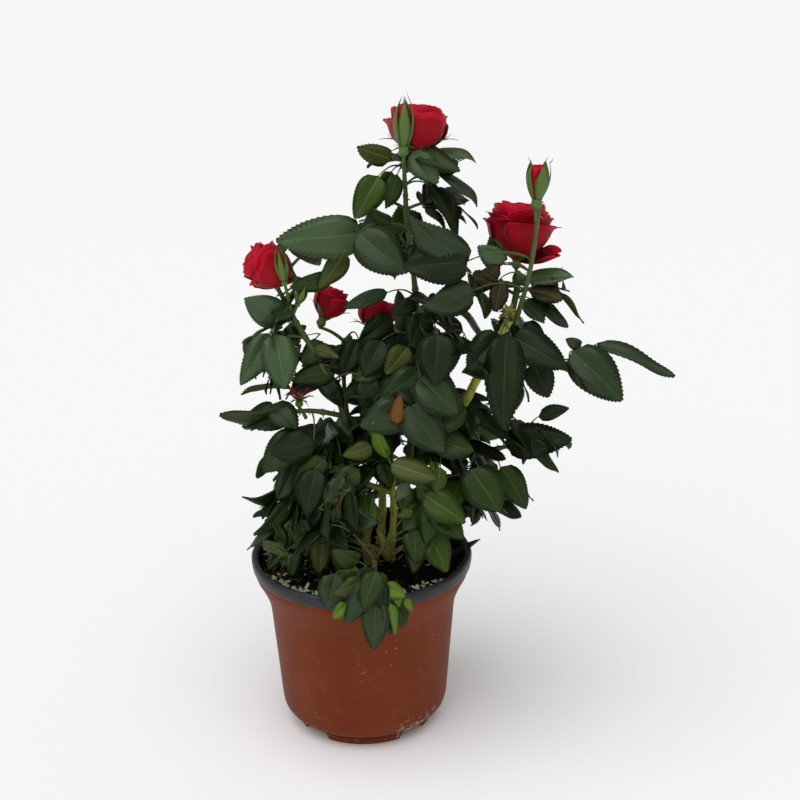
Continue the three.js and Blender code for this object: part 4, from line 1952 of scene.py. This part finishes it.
    def place(self, node: str, leaflet: Leaflet, rng: random.Random) -> None:
        """Grow one leaflet that stands out, on a stalk of its own.

        Args:
            node: The mass that it belongs to.
            leaflet: Its place and shape.
            rng: The source of chance.
        """
        middle, half = self.mass(node)
        right, forward, up = leaflet.spot
        spot = middle + half * np.array((right, -forward, up))
        heading = math.radians(leaflet.heading)
        along = unit(np.array((math.cos(heading), -0.28, math.sin(heading))))
        long = leaflet.length * MM
        foot = spot - along * long / 2
        _, side, over = axes_along(along, np.array(self.eye))
        roll = math.radians(leaflet.roll)
        face = over * math.cos(roll) + side * math.sin(roll)
        broad = leaflet.width * MM / max(math.cos(roll), 0.3) / long
        lift = unit(along + over * 0.5 * leaflet.droop)
        start = self.nearest(foot)
        bow = RISE * 0.12 * np.linalg.norm(foot - start) - lift * 2 * MM
        self.foliage.stalk(bowed(start, foot, bow, 9), 0.95 * MM, 0.5 * MM)
        self.foliage.leaflet(foot, lift, face, long, leaflet.tint, rng, broad, leaflet.droop)


# These sets deal out painted shade and painted light along with the leaves' own colours.
OLD = (Tint.DEEP, Tint.LIT, Tint.MID, Tint.DEEP)
DIM = (Tint.DEEP, Tint.MID, Tint.DEEP, Tint.LIT, Tint.MID)
PALE = (Tint.MID, Tint.FRESH, Tint.MID, Tint.LIT)
YOUNG = (Tint.FRESH, Tint.MID, Tint.OLIVE, Tint.MID, Tint.DEEP)
RUSTY = (Tint.BRONZE, Tint.MID, Tint.BRONZE, Tint.DEEP)
SPRAYS = {
    "leaves-top-collar": Spray(3, 30, (Tint.LIT, Tint.MID), 0.6),
    "leaves-upper-left": Spray(1, 28, (Tint.MID,), 0.8),
    "leaves-upper-right": Spray(3, 32, DIM, 0.6),
    "leaves-upper-front": Spray(1, 38, OLD, 1.2),
    "leaves-upper-middle": Spray(2, 34, OLD, 1.2),
    "leaves-upper-back": Spray(6, 42, OLD),
    "leaves-left-shoulder": Spray(1, 40, (Tint.LIT,), 1.2),
    "leaves-right-shoulder": Spray(3, 32, OLD, 0.8),
    "leaves-young-shoot": Spray(3, 30, RUSTY, 0.5),
    "leaves-centre-upper": Spray(6, 42, OLD, 0.5),
    "leaves-left-middle": Spray(4, 38, (Tint.LIT, Tint.MID), 0.8),
    "leaves-inner-left": Spray(3, 36, DIM, 0.4),
    "leaves-left-tip": Spray(2, 36, OLD, 0.6),
    "crown-left": Spray(15, 42, DIM, 0.2),
    "crown-centre": Spray(13, 44, DIM, 0.2),
    "leaves-right-front": Spray(2, 40, DIM, 1.3),
    "leaves-right-outer": Spray(2, 38, OLD, 1.0),
    "leaves-low-right-outer": Spray(4, 38, OLD, 0.6),
    "leaves-low-right": Spray(10, 40, (Tint.MID, Tint.DEEP, Tint.MID, Tint.LIT), 0.3),
    "crown-right": Spray(14, 44, DIM),
    "leaves-low-left": Spray(10, 38, DIM, 0.3),
    "leaves-low-front-right": Spray(6, 36, YOUNG, 0.8),
    "leaves-low-front-left": Spray(7, 38, DIM, 0.8),
    "leaves-front-rim": Spray(2, 30, YOUNG, 1.0),
    "leaves-left-rim": Spray(3, 30, PALE, 0.5),
    "crown-back-upper": Spray(10, 46, OLD),
    "leaves-back-left-upper": Spray(7, 44, OLD),
    "leaves-back-right-upper": Spray(7, 44, OLD),
    "crown-back-left": Spray(12, 46, OLD),
    "crown-back-centre": Spray(12, 46, OLD),
    "crown-back-right": Spray(12, 46, DIM),
    "leaves-back-low": Spray(8, 42, PALE),
    "leaves-back-low-right": Spray(7, 38, PALE),
    "leaves-back-low-left": Spray(7, 38, PALE),
}

PLACED = {
    "leaves-top-collar": (
        Leaflet((-0.7, 0.4, 0.55), 165, 32, 16, 40, Tint.OLIVE),
        Leaflet((-0.5, 0.5, -0.5), 245, 21, 13, 30, Tint.MID),
        Leaflet((-0.4, 0.6, -0.8), 255, 30, 15, 25, Tint.MID),
        Leaflet((0.3, 0.5, 0.4), -17, 44, 20, 25, Tint.MID, 0.5),
        Leaflet((0.1, 0.6, 0.1), -50, 34, 24, 5, Tint.SHEEN),
        Leaflet((0.6, 0.0, 0.5), 8, 44, 14, 50, Tint.SHEEN, 0.6),
        Leaflet((0.7, 0.3, -0.7), -23, 46, 12, 55, Tint.LIT, 0.6),
    ),
    "leaves-upper-left": (Leaflet((-0.05, 1.3, 0.3), 240, 40, 27, 5, Tint.FRESH, 0.25),),
    "leaves-upper-right": (
        Leaflet((-0.2, 0.7, 0.0), -53, 48, 17, 40, Tint.DEEP, 0.6),
        Leaflet((-0.8, 0.0, 0.3), -82, 30, 15, 35, Tint.DEEP),
    ),
    "leaves-left-shoulder": (
        Leaflet((0.05, 0.5, 0.25), 183, 74, 33, 12, Tint.SHEEN, 0.4),
        Leaflet((0.28, -0.2, -0.95), 235, 38, 19, 30, Tint.OLIVE),
        Leaflet((-0.15, 0.0, -1.35), 195, 36, 15, 30, Tint.MID),
    ),
    "leaves-upper-middle": (
        Leaflet((0.2, 1.5, 0.2), -40, 52, 37, 5, Tint.LIT, 0.4),
        Leaflet((-0.7, 0.4, 0.6), 213, 20, 13, 20, Tint.MID),
        Leaflet((0.1, 0.3, 1.2), 150, 26, 10, 50, Tint.MID),
        Leaflet((-0.4, 0.0, -1.7), 195, 41, 13, 20, Tint.LIT, 0.5),
    ),
    "leaves-upper-front": (
        Leaflet((-0.05, 0.7, 0.3), 149, 68, 26, 24, Tint.LIT, 0.5),
        Leaflet((-0.02, 0.8, -0.2), 180, 55, 34, -8, Tint.DEEP, 0.3),
        Leaflet((0.3, 0.4, -1.2), 199, 45, 27, 15, Tint.LIT, 0.4),
    ),
    "leaves-young-shoot": (
        Leaflet((0.0, 0.8, 0.3), 226, 34, 17, 20, Tint.BRONZE, 0.6),
        Leaflet((0.1, 0.7, 0.8), 146, 30, 17, 25, Tint.SHEEN, 0.6),
        Leaflet((-0.1, 1.0, 0.3), 159, 27, 14, 30, Tint.BRONZE),
        Leaflet((0.4, 1.0, 0.0), 260, 29, 16, 10, Tint.BRONZE),
        Leaflet((0.3, 0.4, 0.9), 121, 28, 12, 40, Tint.LIT),
    ),
    "leaves-right-shoulder": (
        Leaflet((-0.2, 0.1, 0.6), 16, 44, 13, 48, Tint.SHEEN, 0.5),
        Leaflet((-0.3, 0.5, 0.1), -4, 30, 17, 35, Tint.BRONZE, 0.5),
        Leaflet((-0.6, 0.4, -0.5), -42, 27, 17, 20, Tint.LIT),
        Leaflet((-0.1, 0.0, -0.6), -28, 41, 12, 50, Tint.LIT, 0.6),
        Leaflet((-0.6, 0.5, -1.2), -47, 25, 15, 10, Tint.DEEP),
    ),
    "leaves-right-front": (
        Leaflet((-0.2, 0.7, -0.1), 266, 80, 35, 0, Tint.DEEP, 0.25),
        Leaflet((0.6, -0.2, 0.3), -27, 52, 29, 12, Tint.DEEP, 0.4),
        Leaflet((-0.6, -0.3, 0.3), 221, 40, 30, 8, Tint.DEEP, 0.4),
        Leaflet((0.7, -1.4, -0.3), -67, 33, 26, 0, Tint.DEEP),
    ),
    "leaves-right-outer": (
        Leaflet((0.3, 0.2, -0.2), -44, 60, 38, 4, Tint.LIT, 0.3),
        Leaflet((-0.3, -0.4, 0.8), 150, 17, 10, 20, Tint.LIT),
    ),
    "leaves-right-tip": (Leaflet((-0.05, 0.2, 0.7), -11, 72, 12, 55, Tint.LIT, 0.6),),
    "leaves-low-right-outer": (
        Leaflet((0.1, 0.1, 0.1), 13, 60, 33, 8, Tint.DEEP, 0.45),
        Leaflet((0.5, -0.5, 0.9), 25, 29, 12, 35, Tint.LIT),
    ),
    "leaves-low-right": (
        Leaflet((-0.2, 1.2, 0.7), -55, 45, 34, 5, Tint.MID, 0.4),
        Leaflet((0.5, 0.5, 0.4), -54, 43, 26, 10, Tint.MID, 0.4),
    ),
    "leaves-left-tip": (
        Leaflet((0.0, 0.2, -0.2), 191, 68, 22, 48, Tint.LIT, 0.55),
        Leaflet((0.6, 0.6, 0.3), -38, 31, 21, 25, Tint.LIT),
    ),
    "leaves-left-middle": (
        Leaflet((-0.4, 0.7, -0.2), 241, 50, 22, 18, Tint.SHEEN, 0.3),
        Leaflet((0.4, 1.0, -0.2), 278, 47, 31, 4, Tint.SHEEN, 0.4),
        Leaflet((-0.1, 0.3, 0.7), 148, 40, 26, 10, Tint.SHEEN, 0.4),
        Leaflet((0.3, 0.2, 0.6), 198, 33, 20, 25, Tint.LIT),
    ),
    "leaves-inner-left": (
        Leaflet((-0.5, 0.6, 0.45), 225, 26, 18, 10, Tint.MID),
        Leaflet((-0.05, 0.8, 0.5), -15, 24, 13, 20, Tint.OLIVE),
        Leaflet((0.2, 0.2, 0.2), 190, 34, 22, 10, Tint.DEEP, 0.5),
        Leaflet((0.7, 0.3, 0.25), 245, 36, 20, 10, Tint.DEEP),
        Leaflet((-0.5, 0.6, -0.1), 190, 40, 20, 15, Tint.MID, 0.5),
        Leaflet((0.1, 0.6, -0.5), -50, 36, 18, 10, Tint.DEEP, 0.5),
    ),
    "flower-heads-middle": (Leaflet((0.5, 1.1, -0.6), 215, 35, 23, 8, Tint.DEEP, 0.5),),
    "crown-left": (
        Leaflet((-0.8, 0.9, 0.6), 229, 46, 27, 5, Tint.MID, 0.4),
        Leaflet((-0.6, 1.0, 0.7), 193, 39, 29, 15, Tint.DEEP, 0.5),
        Leaflet((-0.3, 1.1, -0.2), 255, 40, 28, 5, Tint.DEEP, 0.4),
        Leaflet((0.1, 1.2, -0.5), 80, 20, 9, 10, Tint.RUST),
        Leaflet((0.55, 0.9, 0.55), 200, 27, 15, 20, Tint.OLIVE, 0.7),
        Leaflet((0.3, 1.0, 0.0), 205, 30, 20, 10, Tint.MID),
        Leaflet((-0.3, 0.9, 0.1), 225, 37, 24, 10, Tint.MID, 0.5),
        Leaflet((-0.7, 0.65, -0.15), 250, 38, 22, 15, Tint.LIT, 0.5),
        Leaflet((0.9, 1.0, 0.85), 110, 42, 11, 40, Tint.LIME, 0.3),
    ),
    "leaves-low-left": (
        Leaflet((-0.6, 0.2, 0.1), 208, 45, 11, 55, Tint.DEEP, 0.8),
        Leaflet((-0.4, 0.3, -0.3), 234, 48, 18, 35, Tint.LIT, 0.6),
        Leaflet((0.2, 0.65, -0.6), 279, 34, 22, 5, Tint.MID, 0.3),
        Leaflet((-0.2, 0.4, -0.9), 262, 42, 12, 15, Tint.OLIVE, 0.4),
        Leaflet((-0.6, 0.25, -0.5), 235, 28, 7, 40, Tint.LIT, 0.9),
        Leaflet((-0.3, 0.4, -0.5), -48, 28, 8, 40, Tint.MID, 0.8),
    ),
    "leaves-left-rim": (
        Leaflet((0.0, -0.1, -0.7), 240, 20, 13, 10, Tint.LIT),
        Leaflet((0.7, 0.5, -0.6), 262, 22, 14, 10, Tint.LIT),
    ),
    "leaves-centre-upper": (
        Leaflet((-0.3, 1.2, -0.3), 266, 42, 34, 5, Tint.DEEP, 0.4),
        Leaflet((-1.1, -0.6, 0.5), 200, 24, 14, 15, Tint.DEEP),
        Leaflet((-0.75, -0.2, 0.1), 250, 30, 24, 8, Tint.DEEP),
    ),
    "crown-centre": (
        Leaflet((0.7, 1.05, 0.2), -43, 43, 33, 8, Tint.LIT, 0.4),
        Leaflet((-0.2, 1.15, -0.02), 86, 30, 12, 10, Tint.RUST, 0.3),
        Leaflet((-0.5, 0.6, -0.35), 200, 42, 30, 8, Tint.LIT, 0.4),
        Leaflet((-0.15, 0.0, 0.65), 230, 30, 22, 8, Tint.OLIVE),
        Leaflet((-0.75, -0.1, 0.4), 200, 30, 20, 10, Tint.MID),
        Leaflet((-0.75, 0.1, 0.0), 290, 30, 26, 5, Tint.DEEP),
        Leaflet((-0.1, 0.3, 0.2), 215, 44, 24, 8, Tint.LIT, 0.4),
        Leaflet((0.8, 0.75, -0.3), 213, 44, 32, 8, Tint.MID, 0.4),
        Leaflet((-0.7, -0.1, 0.7), 239, 34, 28, 5, Tint.DEEP),
        Leaflet((0.4, 1.0, -0.5), -52, 50, 34, 6, Tint.LIT, 0.4),
    ),
    "crown-right": (Leaflet((-0.2, 1.25, 0.0), -15, 36, 25, 10, Tint.MID, 0.4),),
    "leaves-low-front-right": (
        Leaflet((-0.5, 0.6, 1.0), -12, 42, 21, 15, Tint.OLIVE, 0.5),
        Leaflet((0.25, 0.6, 0.15), -30, 42, 27, 8, Tint.FRESH, 0.4),
        Leaflet((-0.1, 0.1, -0.2), 255, 45, 22, 10, Tint.MID, 0.4),
        Leaflet((-0.5, 0.3, -0.75), -86, 30, 20, 10, Tint.MID),
        Leaflet((0.1, 0.3, 0.7), 262, 24, 15, 12, Tint.FRESH, 0.5),
        Leaflet((-0.8, 0.0, 0.4), 235, 19, 13, 15, Tint.SHEEN),
        Leaflet((0.05, 0.0, -0.9), -62, 46, 28, 8, Tint.FRESH, 0.4),
        Leaflet((-0.5, 0.2, -1.0), 265, 31, 18, 10, Tint.MID),
        Leaflet((-0.75, 0.4, 0.0), 200, 15, 10, 10, Tint.FRESH),
    ),
    "leaves-low-front-left": (
        Leaflet((0.2, -0.1, 0.4), 258, 42, 26, 10, Tint.LIT, 0.4),
        Leaflet((0.9, -0.4, 0.0), 280, 22, 13, 15, Tint.LIME),
        Leaflet((0.0, -0.4, 0.3), 190, 28, 17, 20, Tint.MID),
        Leaflet((-0.5, -0.8, 0.3), 260, 17, 9, 10, Tint.LIME),
        Leaflet((-0.55, -0.6, -0.7), 205, 25, 17, 15, Tint.MID),
        Leaflet((-0.2, -0.4, -0.95), 262, 35, 19, 10, Tint.OLIVE),
        Leaflet((0.2, 0.1, -0.95), 270, 32, 12, 25, Tint.MID),
    ),
    "leaves-front-rim": (
        Leaflet((0.05, 0.65, -0.5), 268, 44, 23, 0, Tint.LIT, 0.3),
        Leaflet((-0.3, 0.5, 0.0), 238, 42, 21, 12, Tint.LIT, 0.4),
        Leaflet((0.4, 0.5, -0.4), 280, 28, 14, 25, Tint.MID, 0.3),
        Leaflet((0.5, 0.52, -0.42), 284, 27, 9, 30, Tint.LIME, 0.3),
        Leaflet((0.52, 0.15, 0.15), -20, 20, 14, 10, Tint.LIME),
        Leaflet((-0.05, 0.5, 0.3), 250, 34, 21, 8, Tint.MID, 0.4),
        Leaflet((0.2, 0.4, 0.15), 285, 26, 16, 12, Tint.DEEP),
        Leaflet((-0.95, -0.2, 0.1), 255, 32, 24, 10, Tint.LIT),
        Leaflet((-0.1, -0.2, 0.35), 282, 24, 22, 10, Tint.DEEP),
        Leaflet((-0.75, 0.5, -0.2), 225, 18, 12, 15, Tint.LIME),
        Leaflet((-0.55, 0.3, 0.3), 205, 26, 16, 20, Tint.OLIVE),
        Leaflet((-0.6, -0.3, 0.9), 150, 28, 18, 20, Tint.MID),
        Leaflet((0.85, 0.15, -0.2), -60, 12, 8, 10, Tint.LIME),
        Leaflet((0.6, 0.2, -0.05), -80, 12, 8, 10, Tint.LIME),
    ),
}


# ---------------------------------------------------------------- stage and camera


@dataclass(frozen=True)
class Stage:
    """A plain pale floor, soft daylight from above and the eye a little above the plant."""

    eye: Triple = (0.0, -1.2, 0.729)
    pitch: float = 19.35
    yaw: float = 1.76
    roll: float = -0.85
    lens: float = 65.43
    sensor: float = 36.0
    floor_size: float = 600.0
    sky: float = 0.42
    sun: float = 1.9
    sun_width: float = 75.0
    sun_aim: Triple = (0.22, 0.42, -1.0)

    def build(self) -> None:
        """Lay the floor, hang the lights and stand the camera."""
        deselect()
        bpy.ops.mesh.primitive_plane_add(size=self.floor_size, location=(0, 0, 0))
        floor = bpy.context.object
        floor.name = "floor"
        floor.data.materials.append(WHITE_SWEEP.build())
        self.daylight()
        world = bpy.data.worlds.new("white studio")
        world.use_nodes = True
        background = world.node_tree.nodes["Background"]
        background.inputs["Color"].default_value = linear("ffffff")
        background.inputs["Strength"].default_value = self.sky
        bpy.context.scene.world = world
        bpy.context.scene.view_settings.view_transform = "Standard"
        self.camera()

    def daylight(self) -> None:
        """Hang one very soft sun nearly overhead, as wide as a bright patch of sky."""
        data = bpy.data.lights.new("daylight", "SUN")
        data.energy = self.sun
        data.angle = math.radians(self.sun_width)
        lamp = bpy.data.objects.new("daylight", data)
        lamp.matrix_world = Vector(self.sun_aim).to_track_quat("-Z", "Y").to_matrix().to_4x4()
        bpy.context.collection.objects.link(lamp)

    def camera(self) -> None:
        """Stand the camera in front, looking down on the plant."""
        pitch, yaw, roll = (math.radians(angle) for angle in (self.pitch, self.yaw, self.roll))
        ahead = Vector((
            math.sin(yaw) * math.cos(pitch), math.cos(yaw) * math.cos(pitch), -math.sin(pitch),
        ))
        right = ahead.cross(UP).normalized()
        over = right.cross(ahead)
        tilted_right = right * math.cos(roll) + over * math.sin(roll)
        tilted_over = over * math.cos(roll) - right * math.sin(roll)
        data = bpy.data.cameras.new("camera")
        data.lens = self.lens
        data.sensor_width = self.sensor
        view = bpy.data.objects.new("camera", data)
        basis = Matrix((tilted_right, tilted_over, -ahead)).transposed().to_4x4()
        view.matrix_world = Matrix.Translation(self.eye) @ basis
        bpy.context.collection.objects.link(view)
        bpy.context.scene.camera = view


# ---------------------------------------------------------------- the whole part


CANES = (
    "cane-centre", "cane-top", "cane-left", "cane-right", "bough-right-flower", "bough-right-bud",
    "bough-right-outer", "bough-right-low", "bough-left-side", "bough-left-tip",
    "bough-middle-flower", "cane-back", "shoot-front", "stub-cut",
)


def write_sizes() -> None:
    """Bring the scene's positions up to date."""
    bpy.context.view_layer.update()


def main() -> None:
    """Grow the rose over its frame and set the stage."""
    logging.basicConfig(level=logging.INFO, format="%(name)s: %(message)s")
    NurseryPot().build()
    RolledRim().build()
    PottingMix().build(random.Random(SEED))
    limbs = [Limb.measured(name) for name in CANES]
    Canes(limbs).build()
    foliage = Foliage()
    growth = Growth(limbs, foliage)
    for number, (node, leaflets) in enumerate(PLACED.items()):
        rng = random.Random(SEED * 500 + number)
        for leaflet in leaflets:
            growth.place(node, leaflet, rng)
    for number, (node, spray) in enumerate(SPRAYS.items()):
        growth.grow(node, spray, random.Random(SEED * 1000 + number))
    foliage.build((*SPRAYS, "leaves-right-tip"))
    Flowers().build()
    Stage().build()
    write_sizes()


if __name__ == "__main__":
    main()
